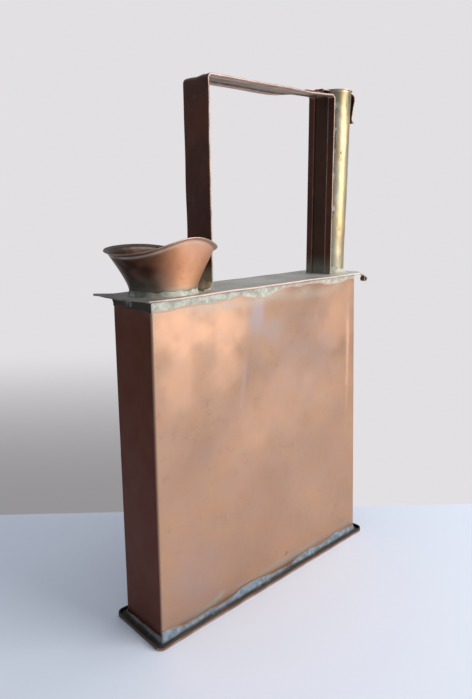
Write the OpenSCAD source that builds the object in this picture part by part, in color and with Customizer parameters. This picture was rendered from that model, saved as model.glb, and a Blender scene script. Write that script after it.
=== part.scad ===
// Flat copper hot water can with a filler cup, a strap handle and a brass pouring tube.
// Origin: centre of the body's footprint on the underside of the base tray.
// +Z is up, +X points to the tube's end, and the broad front faces -Y.

/* [Body] */
// Length of the body at its lower end
body_l = 307.2; // [240:0.2:400]
// Length of the body at its upper end
body_top_l = 289.4; // [220:0.2:380]
// Depth of the body, front to back
body_w = 63; // [56:0.5:90]
// Height of the body's walls
body_h = 335.5; // [250:0.5:450]
// Thickness of the body's copper sheet
sheet_t = 0.9; // [0.6:0.1:1.5]
// Radius of the body's four long corners
body_corner_r = 2.2; // [1.6:0.1:4]
// Width of the wrap's return flange under the back panel
back_flange = 12; // [8:1:20]
// Width of the solder beads along the back panel's upright edges
bead_w = 3; // [2:0.5:6]
// Thickness of those beads
bead_t = 0.6; // [0.4:0.1:1.2]

/* [Base] */
// How far the base tray reaches past the body all round
base_over = 8.2; // [6:0.1:12]
// Thickness of the tray's floor
base_t = 1; // [0.8:0.1:2]
// Thickness of the tray's folded rim
rim_t = 1.8; // [1.2:0.1:3]
// Height of the tray's rim above the ground
rim_h = 5; // [3.5:0.1:8]
// Corner radius of the tray
base_corner_r = 7; // [4:0.5:10]
// How high the base solder climbs up the walls
base_solder_h = 10; // [7:0.5:16]
// Height up to which the solder fills the tray level
base_fill_h = 2.5; // [1.5:0.1:3.5]

/* [Top plate] */
// Thickness of the top plate's sheet
plate_t = 1; // [0.8:0.1:1.6]
// Thickness of the hem folded under the plate's edges
hem_t = 1; // [0.8:0.1:1.6]
// Width of that hem
plate_hem_w = 3; // [2:0.1:3.2]
// Overhang of the plate at the front, and at the left end's front corner
plate_front = 3.5; // [3.3:0.1:8]
// Overhang of the plate at the back
plate_back = 7; // [4:0.5:12]
// Overhang of the plate at the left end's back corner, which runs out askew
plate_left_back = 16; // [6:0.5:24]
// Overhang of the plate at the right end
plate_right_out = 16; // [10:0.1:22]
// Width of the plate's front right corner, which is curled down and rolled
corner_curl_w = 6; // [4:0.1:20]
// Where that corner starts to curl down, past the body's right end
curl_start = 4; // [1:0.1:6]
// Bend radius of the curl
curl_r = 23.3; // [18:0.1:30]
// Angle through which the curl turns down
curl_angle = 41; // [25:1:55]
// Outer radius of the roll at the end of the curl
roll_r = 3.1; // [2.6:0.1:4]
// Radius of the stub of wire in the roll
wire_r = 2; // [1.2:0.1:2.2]
// How far the top solder reaches down the walls
top_solder_h = 8; // [5:0.5:14]
// How far the top solder stands out from the walls, under the hem
top_solder_w = 2.4; // [1.5:0.1:3]
// Thickness at which the solder fillets run out on the walls
solder_edge = 0.4; // [0.2:0.1:0.8]

/* [Filler cup] */
// Distance of the cup's centre from the body's upper left end
cup_inset = 36.7; // [33.5:0.1:40]
// Radius of the cup's foot
cup_foot_r = 29; // [26:0.5:30]
// Mean radius of the cup's rim
cup_rim_r = 51.5; // [44:0.5:56]
// Mean height of the rim above the plate
cup_h = 41.6; // [30:0.2:55]
// Thickness of the cup's sheet
cup_t = 1; // [0.7:0.1:1.6]
// How far the rim's centre lies to the right of the foot's centre
rim_shift = 1.5; // [-4:0.5:4]
// Width of the rim's turned-out lip
lip_w = 3.5; // [2:0.5:6]
// Drop of the lip from the rim to the wall
lip_drop = 1.6; // [1:0.1:2.5]
// Height of the cup's steep foot, where the flaring wall starts
cup_low_h = 6; // [4:0.5:9]
// How much wider the cup is at the top of its steep foot
cup_low_w = 3.3; // [1.5:0.1:5]
// Hollowness of the flaring wall, where 1 is a straight cone
wall_flare = 1.2; // [1:0.05:1.6]
// Share by which the rim is wider along the can and narrower across it
rim_squeeze = 0.1; // [0:0.01:0.14]
// How much the rim is lifted towards the left end
rim_lift = 2.6; // [0:0.1:5]
// How much the rim's front is higher than its back
rim_pitch = 2.2; // [0:0.1:5]
// How much the rim rises at front and back and dips at its ends
rim_saddle = 6; // [0:0.2:9]
// Height of the rim's smaller third wave
rim_ripple = 1.7; // [0:0.1:3]
// Clearance between the flattened rim and the handle's left leg
rim_clear = 1.4; // [0.8:0.1:6]
// Radius of the filler hole in the top plate
filler_hole_r = 24; // [15:0.5:25]
// Width of the solder round the cup's foot
cup_solder_w = 4.5; // [3:0.5:5.5]

/* [Handle] */
// Width of the handle's strap
strap_w = 37; // [28:0.5:44]
// Thickness of the strap's sheet
strap_t = 1.1; // [0.8:0.1:1.6]
// Width of the hem folded inwards along each side of the strap
strap_hem_w = 9; // [5:0.5:12]
// Distance of the left leg's outer face from the body's upper left end, at the plate
left_leg_inset = 80.4; // [80:0.1:100]
// Distance of the right leg's outer face from the body's upper right end, at the plate
right_leg_inset = 27.9; // [27.5:0.1:50]
// How far the left leg leans in by the top
left_lean = 3; // [0:0.2:8]
// How far the right leg leans out by the top
right_lean = 4.6; // [0:0.2:5]
// Height of the handle's right end above the plate
handle_h = 198.1; // [150:0.1:240]
// How much lower the handle's left end is
bar_rise = 2.1; // [0:0.1:6]
// Outer bend radius of the handle's two corners
strap_bend_r = 5; // [3:0.5:12]
// Length of the strap's left foot
left_foot_l = 10; // [6:0.5:10.5]
// Length of the strap's right foot, which is cut round the tube
right_foot_l = 8; // [4:0.5:12]
// How high the solder climbs the left leg above its foot
leg_solder_h = 9; // [5:0.5:14]
// How far that solder runs out on the foot
leg_solder_l = 5; // [3:0.5:8]

/* [Pouring tube] */
// Outer radius of the brass tube
tube_r = 17.5; // [14:0.1:18]
// Wall of the tube
tube_t = 1; // [0.8:0.1:2]
// Angle at which the tube leans out
tube_lean = 2.7; // [1.5:0.1:3.5]
// Solder gap between the handle's leg and the tube at the plate
tube_gap = 0.5; // [0.3:0.1:1.5]
// Width of the pouring mouth cut in the tube's top
mouth_w = 18; // [12:0.5:20]
// Depth of the pouring mouth
mouth_h = 22; // [14:0.5:30]
// Radius of the outlet hole in the plate under the tube
outlet_r = 7; // [4:0.5:8]
// Height of the solder round the tube's foot
tube_solder_h = 6; // [4:0.5:10]
// Width of the solder round the tube's foot
tube_solder_w = 4; // [2:0.5:6]
// Width of the solder filling between the leg and the tube
seam_w = 23; // [16:1:26]

/* [Lid] */
// Radius of the lid over the tube
lid_r = 18.7; // [18.2:0.1:20]
// Thickness of the lid's sheet
lid_t = 1.2; // [0.8:0.1:1.6]
// Gap between the closed lid and the tube's top edge
lid_gap = 0.3; // [0.2:0.1:1]
// Distance from the lid's hinge to the tube's centre line
hinge_reach = 33; // [29:0.5:40]
// Gap between the lid's knuckle and the handle's top, which sets the tube's height
knuckle_lift = 0.3; // [0.3:0.1:2]
// Radius of the hinge pin
pin_r = 1.2; // [1:0.1:1.6]
// Running clearance of the pin in the lid's knuckle
pin_clear = 0.05; // [0.02:0.01:0.1]
// Length of the lid's middle knuckle
knuckle_l = 6; // [5:0.5:16]
// Length of each of the leaf's two end knuckles
end_knuckle_l = 4.5; // [4:0.5:9]
// Side clearance between neighbouring knuckles
knuckle_clear = 0.3; // [0.2:0.1:0.6]
// Wall of the lid's knuckle
knuckle_wall = 1; // [0.8:0.1:1.4]
// Gap between the leaf's knuckles and the tongue that passes over them
tongue_gap = 0.3; // [0.2:0.1:0.4]
// How much narrower than the hinge the lid's tongue is, at each side
tongue_inset = 2; // [1:0.5:4]
// Length of the leaf soldered along the handle's top
leaf_l = 26; // [20:1:34]
// Length of that leaf which lies flat on the handle
leaf_flat = 9; // [5:0.5:12]
// Thickness of that leaf
leaf_t = 1; // [0.8:0.1:1.4]
// Width of the beak that hangs in front of the mouth
beak_w = 20; // [18:0.5:24]
// How far the beak's corner reaches from the tube's centre line
beak_reach = 24; // [22.5:0.5:28]
// How far the beak's corner droops below the lid
beak_droop = 4.6; // [1:0.1:7]
// Clearance between the tube and the beak at its narrowest
beak_clear = 1.2; // [0.8:0.1:3]
// Height of the beak from its corner to its curl
beak_h = 24; // [18:0.5:30]
// Radius of the beak's curl
beak_curl_r = 5; // [3:0.5:7]

/* [Hidden] */

$fn = 64;
COPPER = [0.72, 0.45, 0.33];
DARK_COPPER = [0.30, 0.19, 0.15];
SOLDER = [0.66, 0.70, 0.64];
BRASS = [0.80, 0.68, 0.40];
far = 600;
seat = 0.1;
arc_steps = 8;
cup_steps = 72;

// Levels
body_z = base_t;
plate_under = body_z + body_h;
plate_z = plate_under + plate_t;
handle_z = plate_z + handle_h;

// Plate outline
plate_front_y = -body_w / 2 - plate_front;
plate_back_y = body_w / 2 + plate_back;
plate_left_f = -body_top_l / 2 - plate_front;
plate_left_b = -body_top_l / 2 - plate_left_back;
plate_span_y = plate_back_y - plate_front_y;
plate_right = body_top_l / 2 + plate_right_out;
curl_back_y = plate_front_y + corner_curl_w;
curl_mid_y = plate_front_y + corner_curl_w / 2;
curl_x = body_top_l / 2 + curl_start;
curl_z = plate_z - curl_r;
roll_x = curl_x + (curl_r - roll_r) * sin(curl_angle);
roll_z = curl_z + (curl_r - roll_r) * cos(curl_angle);

// Places along the top, measured in from the body's two upper ends
cup_x = cup_inset - body_top_l / 2;
left_leg_x = left_leg_inset - body_top_l / 2;
right_leg_x = body_top_l / 2 - right_leg_inset;

// Hinge, with the lid's knuckle let into the lid by a little
lid_knuckle_r = pin_r + pin_clear + knuckle_wall;
leaf_knuckle_r = lid_knuckle_r - seat - tongue_gap;
hinge_z = handle_z + knuckle_lift + lid_knuckle_r;
hinge_half = knuckle_l / 2 + knuckle_clear + end_knuckle_l;
hinge_w = 2 * hinge_half;

// Tube and lid
lid_z = hinge_z + lid_knuckle_r - seat;
tube_top = lid_z - lid_gap;
tube_x = right_leg_x + tube_gap + tube_r;
tube_top_x = tube_x + (tube_top - plate_z) * tan(tube_lean);
hinge_x = tube_top_x - hinge_reach;
beak_x = tube_top_x + tube_r + beak_clear - beak_h * tan(tube_lean);
outlet_edge = 3;
outlet_x = min(tube_x, body_top_l / 2 - sheet_t - outlet_r - outlet_edge);

// The hinge leaf's lower face: where it leaves the handle, and its level at the hinge
leaf_end = hinge_x - leaf_l;
leaf_flat_end = leaf_end + leaf_flat;
leaf_low = hinge_z - leaf_knuckle_r;
leaf_cut_r = lid_knuckle_r + lid_t + 0.3;

// Points of an arc about c, from angle a0 to angle a1
function arc(c, r, a0, a1, n = arc_steps) =
    [for (i = [0:n]) c + r * [cos(a0 + (a1 - a0) * i / n), sin(a0 + (a1 - a0) * i / n)]];

function reversed(p) = [for (i = [len(p) - 1:-1:0]) p[i]];

// Length of the body at a given height
function body_l_at(z) = body_l + (body_top_l - body_l) * (z - body_z) / body_h;

// The handle's side outline, set in by d from its outer face
left_h = handle_h - bar_rise;
left_a = atan(left_lean / left_h);
right_a = atan(right_lean / handle_h);
left_bend_x = left_leg_x + left_lean * (1 - strap_bend_r / left_h) + strap_bend_r / cos(left_a);
right_bend_x = right_leg_x + right_lean * (1 - strap_bend_r / handle_h)
    - strap_bend_r / cos(right_a);
bend_z = handle_z - strap_bend_r;
left_bend_z = bend_z - bar_rise;
bar_a = atan(bar_rise / (right_bend_x - left_bend_x));
function strap_path(d) = concat([[left_leg_x + d / cos(left_a), plate_z]],
    arc([left_bend_x, left_bend_z], strap_bend_r - d, 180 - left_a, 90 + bar_a),
    arc([right_bend_x, bend_z], strap_bend_r - d, 90 + bar_a, -right_a),
    [[right_leg_x - d / cos(right_a), plate_z]]);

// Level of the bar's upper face
function bar_top(x) = bend_z + strap_bend_r / cos(bar_a) - (right_bend_x - x) * tan(bar_a);
function strap_band(d0, d1) = concat(strap_path(d0), reversed(strap_path(d1)));

// Rim of the filler cup. It is flattened where it passes the handle's left leg.
cup_dent = cup_rim_r * (1 + rim_squeeze) - (left_leg_x - rim_clear - cup_x - rim_shift);
dent_angle = 33;
function turned(a) = a > 180 ? a - 360 : a;
function rim_r(a) = cup_rim_r * (1 + rim_squeeze * cos(2 * a))
    - max(0, cup_dent) * exp(-pow(turned(a) / dent_angle, 4));
function rim_z(a) = cup_h - rim_lift * cos(a) - rim_pitch * sin(a)
    - rim_saddle * cos(2 * a - 8) + rim_ripple * sin(3 * a - 33);

// Rings of the cup as [radius, height, share of the rim's shift]: a plain round foot,
// a flaring wall and a turned-out lip
cup_low_r = cup_foot_r + cup_low_w;
function wall_point(a, u) = [
    cup_low_r + (rim_r(a) - lip_w - cup_low_r) * pow(u, wall_flare),
    cup_low_h + (rim_z(a) - lip_drop - cup_low_h) * u, u];
function cup_profile(a) = concat([[cup_foot_r, 0, 0], [cup_low_r, cup_low_h, 0]],
    [for (u = [0.25, 0.5, 0.75, 1]) wall_point(a, u)],
    [[rim_r(a) - lip_w / 2, rim_z(a) - lip_drop / 2, 1], [rim_r(a), rim_z(a), 1]]);

// Draws an outline in the X-Z plane and gives it a width w along Y, centred at y
module side(points, w, y = 0) {
    translate([0, y, 0]) rotate([90, 0, 0]) translate([0, 0, -w / 2])
        linear_extrude(w) polygon(points);
}

module round_rect(l, w, r) {
    square([l - 2 * r, w], center = true);
    square([l, w - 2 * r], center = true);
    for (x = [-1, 1], y = [-1, 1])
        translate([x * (l / 2 - r), y * (w / 2 - r)]) circle(r, $fn = 32);
}

// Points round a rectangle with rounded corners
function rounded(l, w, r) = concat(
    arc([l / 2 - r, w / 2 - r], r, 0, 90, 6), arc([r - l / 2, w / 2 - r], r, 90, 180, 6),
    arc([r - l / 2, r - w / 2], r, 180, 270, 6), arc([l / 2 - r, r - w / 2], r, 270, 360, 6));

// A block that follows the body's taper between two levels, grown by g0 and g1
module tapered(z0, z1, g0, g1, w = body_w, r = body_corner_r) {
    lower = rounded(body_l_at(z0) + 2 * g0, w + 2 * g0, r + max(g0, 0));
    upper = rounded(body_l_at(z1) + 2 * g1, w + 2 * g1, r + max(g1, 0));
    n = len(lower);
    points = concat([for (p = lower) [p[0], p[1], z0]], [for (p = upper) [p[0], p[1], z1]]);
    faces = concat([[for (i = [0:n - 1]) i]], [[for (i = [n - 1:-1:0]) n + i]],
        [for (i = [0:n - 1]) [i, n + i, n + (i + 1) % n, (i + 1) % n]]);
    polyhedron(points, faces);
}

// Places its child along the axis of the plate's rolled corner
module along_roll() {
    translate([roll_x, curl_mid_y, roll_z]) rotate([90, 0, 0]) children();
}

// Everything under the level of the plate's upper face
module under_plate() {
    translate([-far, -far, plate_z - far]) cube([2 * far, 2 * far, far]);
}

// The tube's axis, with z measured along it from the plate
module on_tube() {
    translate([tube_x, 0, plate_z]) rotate([0, tube_lean, 0]) children();
}

// The tube's outer form, long enough to be trimmed at both ends
module tube_blank(r) {
    on_tube() translate([0, 0, -10]) cylinder(r = r, h = far);
}

// Everything on the handle's side of the right leg's outer face
module left_of_leg() {
    low = plate_z - handle_h / 10;
    high = handle_z + handle_h;
    side([[right_leg_x - right_lean / 10, low], [right_leg_x + 2 * right_lean, high],
        [-far, high], [-far, low]], far);
}

// Front and both ends, bent from one sheet, with flanges turned in at the back
module body_wrap() {
    wrap_w = body_w - sheet_t;
    top = plate_under;
    color(COPPER) translate([0, -sheet_t / 2, 0]) difference() {
        tapered(body_z, top, 0, 0, wrap_w);
        tapered(body_z - 1, top + 1, -sheet_t, -sheet_t, wrap_w, body_corner_r - sheet_t);
        translate([0, wrap_w / 2, 0])
            tapered(body_z - 1, top + 1, -back_flange, -back_flange, 4 * back_flange, 1);
    }
}

// Flat back sheet, lapped over the wrap's flanges
module back_panel() {
    inset = body_corner_r;
    color(COPPER) side([[-body_l / 2 + inset, body_z], [body_l / 2 - inset, body_z],
        [body_top_l / 2 - inset, plate_under], [-body_top_l / 2 + inset, plate_under]],
        sheet_t, body_w / 2 - sheet_t / 2);
}

// Two solder beads along the upright edges of the back panel
module back_seam_solder() {
    low = body_z + base_solder_h;
    high = plate_under - hem_t - top_solder_h;
    low_x = body_l_at(low) / 2 - body_corner_r;
    high_x = body_l_at(high) / 2 - body_corner_r;
    color(SOLDER) for (m = [0, 1]) mirror([m, 0, 0])
        side([[low_x - bead_w, low], [low_x, low], [high_x, high], [high_x - bead_w, high]],
            bead_t, body_w / 2 + bead_t / 2);
}

// Shallow tray under the body, with an upturned folded rim
module base_tray() {
    l = body_l + 2 * base_over;
    w = body_w + 2 * base_over;
    color(DARK_COPPER) difference() {
        linear_extrude(rim_h) round_rect(l, w, base_corner_r);
        translate([0, 0, base_t]) linear_extrude(rim_h)
            round_rect(l - 2 * rim_t, w - 2 * rim_t, base_corner_r - rim_t);
    }
}

// Solder that fills the tray round the body and climbs its walls
module base_solder() {
    fill = base_over - rim_t;
    mid = body_z + base_fill_h;
    color(SOLDER) difference() {
        union() {
            tapered(body_z, mid, fill, fill);
            tapered(mid, body_z + base_solder_h, fill, solder_edge);
        }
        tapered(body_z - 1, body_z + base_solder_h + 1, 0, 0);
    }
}

// Top sheet with a hem under its edges and a curled, rolled corner at the front right
module top_plate() {
    hem_z = plate_under - hem_t;
    slope = (plate_left_b - plate_left_f) / plate_span_y;
    front_in = plate_front_y + plate_hem_w;
    back_in = plate_back_y - plate_hem_w;
    right_in = plate_right - plate_hem_w;
    color(COPPER) difference() {
        union() {
            translate([0, 0, plate_under]) linear_extrude(plate_t)
                polygon([[plate_left_f, plate_front_y], [curl_x, plate_front_y],
                    [curl_x, curl_back_y], [plate_right, curl_back_y],
                    [plate_right, plate_back_y], [plate_left_b, plate_back_y]]);
            translate([0, 0, hem_z]) linear_extrude(hem_t) {
                polygon([[plate_left_f, plate_front_y], [curl_x, plate_front_y],
                    [curl_x, front_in], [plate_left_f + slope * plate_hem_w, front_in]]);
                polygon([[plate_left_b, plate_back_y], [plate_right, plate_back_y],
                    [plate_right, curl_back_y], [right_in, curl_back_y],
                    [right_in, back_in], [plate_left_b - slope * plate_hem_w, back_in]]);
                polygon([[plate_left_f, plate_front_y], [plate_left_b, plate_back_y],
                    [plate_left_b + plate_hem_w, plate_back_y],
                    [plate_left_f + plate_hem_w, plate_front_y]]);
            }
            side(concat(arc([curl_x, curl_z], curl_r, 90, 90 - curl_angle, 16),
                reversed(arc([curl_x, curl_z], curl_r - plate_t, 90, 90 - curl_angle, 16))),
                corner_curl_w, curl_mid_y);
            along_roll() cylinder(r = roll_r, h = corner_curl_w, center = true);
        }
        along_roll() cylinder(r = wire_r + seat, h = corner_curl_w + 2, center = true);
        translate([cup_x, 0, plate_under - 1]) cylinder(r = filler_hole_r, h = plate_t + 2);
        translate([outlet_x, 0, plate_under - 1]) cylinder(r = outlet_r, h = plate_t + 2);
    }
}

// Stub of wire in the roll of the plate's corner
module edge_wire() {
    color(DARK_COPPER) along_roll() cylinder(r = wire_r, h = corner_curl_w, center = true);
}

// Solder fillet under the top plate's hem, round the body
module top_solder() {
    high = plate_under - hem_t;
    low = high - top_solder_h;
    color(SOLDER) difference() {
        tapered(low, high, solder_edge, top_solder_w);
        tapered(low - 1, high + 1, 0, 0);
    }
}

// Wide filler cup with a waved, turned-out rim
module filler_cup() {
    rings = len(cup_profile(0));
    // One loop of points round the cup for each ring: outside upwards, then inside downwards.
    // The rim's inner edge stands a little higher than its outer edge.
    levels = concat([for (k = [0:rings - 1]) [k, 0]], [for (k = [rings - 1:-1:0]) [k, cup_t]]);
    points = [for (lv = levels, i = [0:cup_steps - 1])
        let (a = i * 360 / cup_steps, p = cup_profile(a)[lv[0]],
            lift = lv[1] > 0 && lv[0] == rings - 1 ? cup_t * 0.4 : 0)
        [(p[0] - lv[1]) * cos(a) + rim_shift * p[2], (p[0] - lv[1]) * sin(a), p[1] + lift]];
    loops = len(levels);
    faces = [for (j = [0:loops - 1], i = [0:cup_steps - 1])
        let (k = (i + 1) % cup_steps, m = (j + 1) % loops)
        [j * cup_steps + i, m * cup_steps + i, m * cup_steps + k, j * cup_steps + k]];
    color(COPPER) translate([cup_x, 0, plate_z]) polyhedron(points, faces, convexity = 6);
}

// The handle's left foot, turned out towards the cup
module left_foot() {
    translate([left_leg_x - left_foot_l, -strap_w / 2, plate_z])
        cube([left_foot_l + strap_t, strap_w, strap_t]);
}

// Ring of solder round the cup's foot, which also runs on to the handle's foot
module filler_solder() {
    h = cup_low_h - 0.5;
    wall_r = cup_foot_r + cup_low_w * h / cup_low_h;
    color(SOLDER) difference() {
        translate([cup_x, 0, plate_z]) rotate_extrude($fn = 96)
            polygon([[cup_foot_r + seat, 0], [cup_foot_r + cup_solder_w, 0],
                [cup_foot_r + 0.9 * cup_solder_w, h / 4], [wall_r + solder_edge + seat, h],
                [wall_r + seat, h]]);
        left_foot();
    }
}

// Strap handle with hemmed sides and two turned-out feet
module handle_strap() {
    hem_y = strap_w / 2 - strap_hem_w / 2;
    color(DARK_COPPER) difference() {
        union() {
            side(strap_band(0, strap_t), strap_w);
            for (y = [-hem_y, hem_y]) side(strap_band(strap_t, 2 * strap_t), strap_hem_w, y);
            left_foot();
            translate([right_leg_x - strap_t, -strap_w / 2, plate_z])
                cube([right_foot_l + strap_t, strap_w, strap_t]);
        }
        tube_blank(tube_r + seat);
    }
}

// Solder in the angle between the left leg and its foot
module left_foot_solder() {
    foot_z = plate_z + strap_t;
    top = foot_z + leg_solder_h;
    top_x = left_leg_x + left_lean * (top - plate_z) / left_h;
    hollow = leg_solder_l * 0.28;
    color(SOLDER) side([[left_leg_x - leg_solder_l, foot_z], [left_leg_x, foot_z],
        [top_x, top], [top_x - 2 * solder_edge, top],
        [left_leg_x - hollow, foot_z + leg_solder_h * 0.28],
        [left_leg_x - leg_solder_l, foot_z + 2 * solder_edge]], strap_w - 2);
}

// Brass tube that stands on the plate and leads up to the pouring mouth
module spout_tube() {
    notch_r = mouth_w / 2;
    color(BRASS) difference() {
        tube_blank(tube_r);
        tube_blank(tube_r - tube_t);
        under_plate();
        translate([-far, -far, tube_top]) cube([2 * far, 2 * far, far * 2]);
        translate([tube_top_x, -notch_r, tube_top - mouth_h + notch_r])
            cube([far, mouth_w, far]);
        translate([tube_top_x, 0, tube_top - mouth_h + notch_r]) rotate([0, 90, 0])
            cylinder(r = notch_r, h = far);
    }
}

// Solder round the tube's foot
module tube_foot_solder() {
    // The cone starts below the plate and is cut off by it
    skirt = 3;
    top_w = 2 * solder_edge;
    slope = (tube_solder_w - top_w) / tube_solder_h;
    color(SOLDER) difference() {
        translate([tube_x, 0, plate_z - skirt])
            cylinder(r1 = tube_r + tube_solder_w + slope * skirt, r2 = tube_r + top_w,
                h = tube_solder_h + skirt);
        under_plate();
        tube_blank(tube_r);
        left_of_leg();
        translate([right_leg_x - 1, -strap_w / 2, plate_z - 1])
            cube([right_foot_l + 1, strap_w, strap_t + 1]);
    }
}

// Solder that fills the narrow wedge between the right leg and the tube
module tube_seam_solder() {
    low = plate_z + tube_solder_h;
    high = bend_z;
    color(SOLDER) difference() {
        side([[right_leg_x, low], [right_leg_x, high],
            [tube_x + (high - plate_z) * tan(tube_lean) - tube_r / 2, high],
            [tube_x + (low - plate_z) * tan(tube_lean) - tube_r / 2, low]], seam_w);
        left_of_leg();
        tube_blank(tube_r);
    }
}

// One hinge knuckle with its bore, centred at y
module knuckle(r, bore, l, y) {
    translate([hinge_x, y, hinge_z]) rotate([90, 0, 0]) difference() {
        cylinder(r = r, h = l, center = true, $fn = 48);
        cylinder(r = bore, h = l + 1, center = true, $fn = 48);
    }
}

// A cylinder of radius r and length l along the hinge's axis
module pin_way(r, l) {
    translate([hinge_x, 0, hinge_z]) rotate([90, 0, 0])
        cylinder(r = r, h = l, center = true, $fn = 48);
}

// Fixed leaf, soldered to the handle's top, with two end knuckles
module hinge_leaf() {
    y = (hinge_half + knuckle_l / 2 + knuckle_clear) / 2;
    color(DARK_COPPER) union() {
        difference() {
            side([[leaf_end, bar_top(leaf_end)], [leaf_flat_end, bar_top(leaf_flat_end)],
                [hinge_x, leaf_low], [hinge_x, leaf_low + leaf_t],
                [leaf_flat_end, bar_top(leaf_flat_end) + leaf_t],
                [leaf_end, bar_top(leaf_end) + leaf_t]], hinge_w);
            pin_way(pin_r, far);
            pin_way(leaf_cut_r, knuckle_l + 2 * knuckle_clear);
        }
        for (s = [-1, 1]) knuckle(leaf_knuckle_r, pin_r, end_knuckle_l, s * y);
    }
}

// Wedge of solder between the leaf and the handle's top
module leaf_solder() {
    end = hinge_x - leaf_cut_r - 1;
    start_z = bar_top(leaf_flat_end);
    end_z = start_z + (leaf_low - start_z) * (end - leaf_flat_end) / (hinge_x - leaf_flat_end);
    color(SOLDER) side([[leaf_flat_end, start_z], [end, bar_top(end)], [end, end_z]],
        hinge_w - 2);
}

// Wire pin through the three knuckles
module hinge_pin() {
    color(DARK_COPPER) pin_way(pin_r, hinge_w + 1);
}

// Hinged lid: a round plate over the tube, a knuckle, and a beak before the mouth
module spout_lid() {
    bend = [tube_top_x + beak_reach, lid_z + lid_t - beak_droop];
    // The beak bends down past the tube's wall beside the mouth
    start = tube_top_x + sqrt(pow(tube_r, 2) - pow(mouth_w / 2, 2)) + 2 * lid_gap;
    waist = [beak_x, bend[1] - beak_h];
    curl = waist + [beak_curl_r, 0];
    tongue = hinge_w - 2 * tongue_inset;
    color(COPPER) difference() {
        union() {
            translate([tube_top_x, 0, lid_z]) cylinder(r = lid_r, h = lid_t, $fn = 96);
            translate([hinge_x, -tongue / 2, lid_z]) cube([hinge_reach, tongue, lid_t]);
            knuckle(lid_knuckle_r, pin_r + pin_clear, knuckle_l, 0);
            side(concat([[start, lid_z], [start, lid_z + lid_t], bend, bend - lid_t * [0.5, 1.2]],
                arc(curl, beak_curl_r - lid_t, 180, 270),
                reversed(arc(curl, beak_curl_r, 180, 270)),
                [bend - lid_t * [1.8, 1.6]]), beak_w);
        }
        pin_way(pin_r + pin_clear, far);
    }
}

body_wrap();
back_panel();
back_seam_solder();
base_tray();
base_solder();
top_plate();
edge_wire();
top_solder();
filler_cup();
filler_solder();
handle_strap();
left_foot_solder();
spout_tube();
tube_foot_solder();
tube_seam_solder();
hinge_leaf();
leaf_solder();
hinge_pin();
spout_lid();
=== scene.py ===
"""A flat upright copper hot water can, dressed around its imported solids.

The can stands on a pale floor in soft light from the right. Each sub-assembly is a
class with its own sizes in metres; its surfaces are numpy grids, and its finishes are
node materials that share a few shader groups.
"""

import logging
import math
from dataclasses import dataclass, field
from enum import Enum

import bpy
import numpy as np
from mathutils import Matrix, Vector

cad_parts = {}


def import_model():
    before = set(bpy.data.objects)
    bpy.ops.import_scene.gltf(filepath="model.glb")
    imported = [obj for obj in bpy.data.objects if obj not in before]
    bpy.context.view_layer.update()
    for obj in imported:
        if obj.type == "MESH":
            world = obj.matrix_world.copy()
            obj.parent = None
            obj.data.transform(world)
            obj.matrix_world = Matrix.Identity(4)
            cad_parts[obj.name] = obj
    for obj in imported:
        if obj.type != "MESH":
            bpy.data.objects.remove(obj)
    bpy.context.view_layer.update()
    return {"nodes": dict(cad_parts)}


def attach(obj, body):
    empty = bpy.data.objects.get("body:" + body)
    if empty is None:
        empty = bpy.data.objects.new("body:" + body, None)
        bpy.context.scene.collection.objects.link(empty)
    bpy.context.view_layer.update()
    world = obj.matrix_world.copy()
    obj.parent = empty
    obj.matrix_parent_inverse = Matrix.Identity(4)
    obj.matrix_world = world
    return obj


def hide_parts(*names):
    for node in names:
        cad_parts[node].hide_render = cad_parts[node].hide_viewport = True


log = logging.getLogger("can")
MM = 0.001
ROOT = "root"
LID = "lid"
Paint = dict[str, np.ndarray]
Colour = tuple[float, float, float]


def srgb(red: float, green: float, blue: float) -> Colour:
    """Turns a colour of 0 to 255 as seen on a screen into linear light.

    Args:
        red: Red, 0 to 255.
        green: Green, 0 to 255.
        blue: Blue, 0 to 255.

    Returns:
        The same colour as three linear values from 0 to 1.
    """
    seen = np.array([red, green, blue]) / 255.0
    linear = np.where(seen <= 0.04045, seen / 12.92, ((seen + 0.055) / 1.055) ** 2.4)
    return tuple(float(v) for v in linear)


def smooth(x: np.ndarray, low: float, high: float) -> np.ndarray:
    """A step that eases from 0 at low to 1 at high: t * t * (3 - 2 t)."""
    t = np.clip((np.asarray(x, float) - low) / (high - low), 0.0, 1.0)
    return t * t * (3.0 - 2.0 * t)


def bump_at(x: np.ndarray, centre: float, width: float) -> np.ndarray:
    """A bell of height 1 at centre: exp of minus the square of the distance in widths."""
    return np.exp(-(((np.asarray(x, float) - centre) / width) ** 2))


@dataclass(frozen=True)
class Waves:
    """A smooth random field made of plane waves.

    The value at a point is the sum of sines of (wave vector . point + phase), scaled to
    unit variance. Directions, lengths near ``size`` and phases come from the seed.
    """

    size: float
    seed: int
    count: int = 14

    def __call__(self, points: np.ndarray) -> np.ndarray:
        """The field at an array of points whose last axis is x, y, z."""
        rng = np.random.default_rng(self.seed)
        way = rng.normal(size=(self.count, 3))
        way /= np.linalg.norm(way, axis=1, keepdims=True)
        turns = 2.0 * math.pi / self.size * rng.uniform(0.6, 1.7, self.count)
        phase = rng.uniform(0.0, 2.0 * math.pi, self.count)
        inner = points @ (way * turns[:, None]).T + phase
        return np.sin(inner).sum(-1) / math.sqrt(self.count / 2.0)


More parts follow.
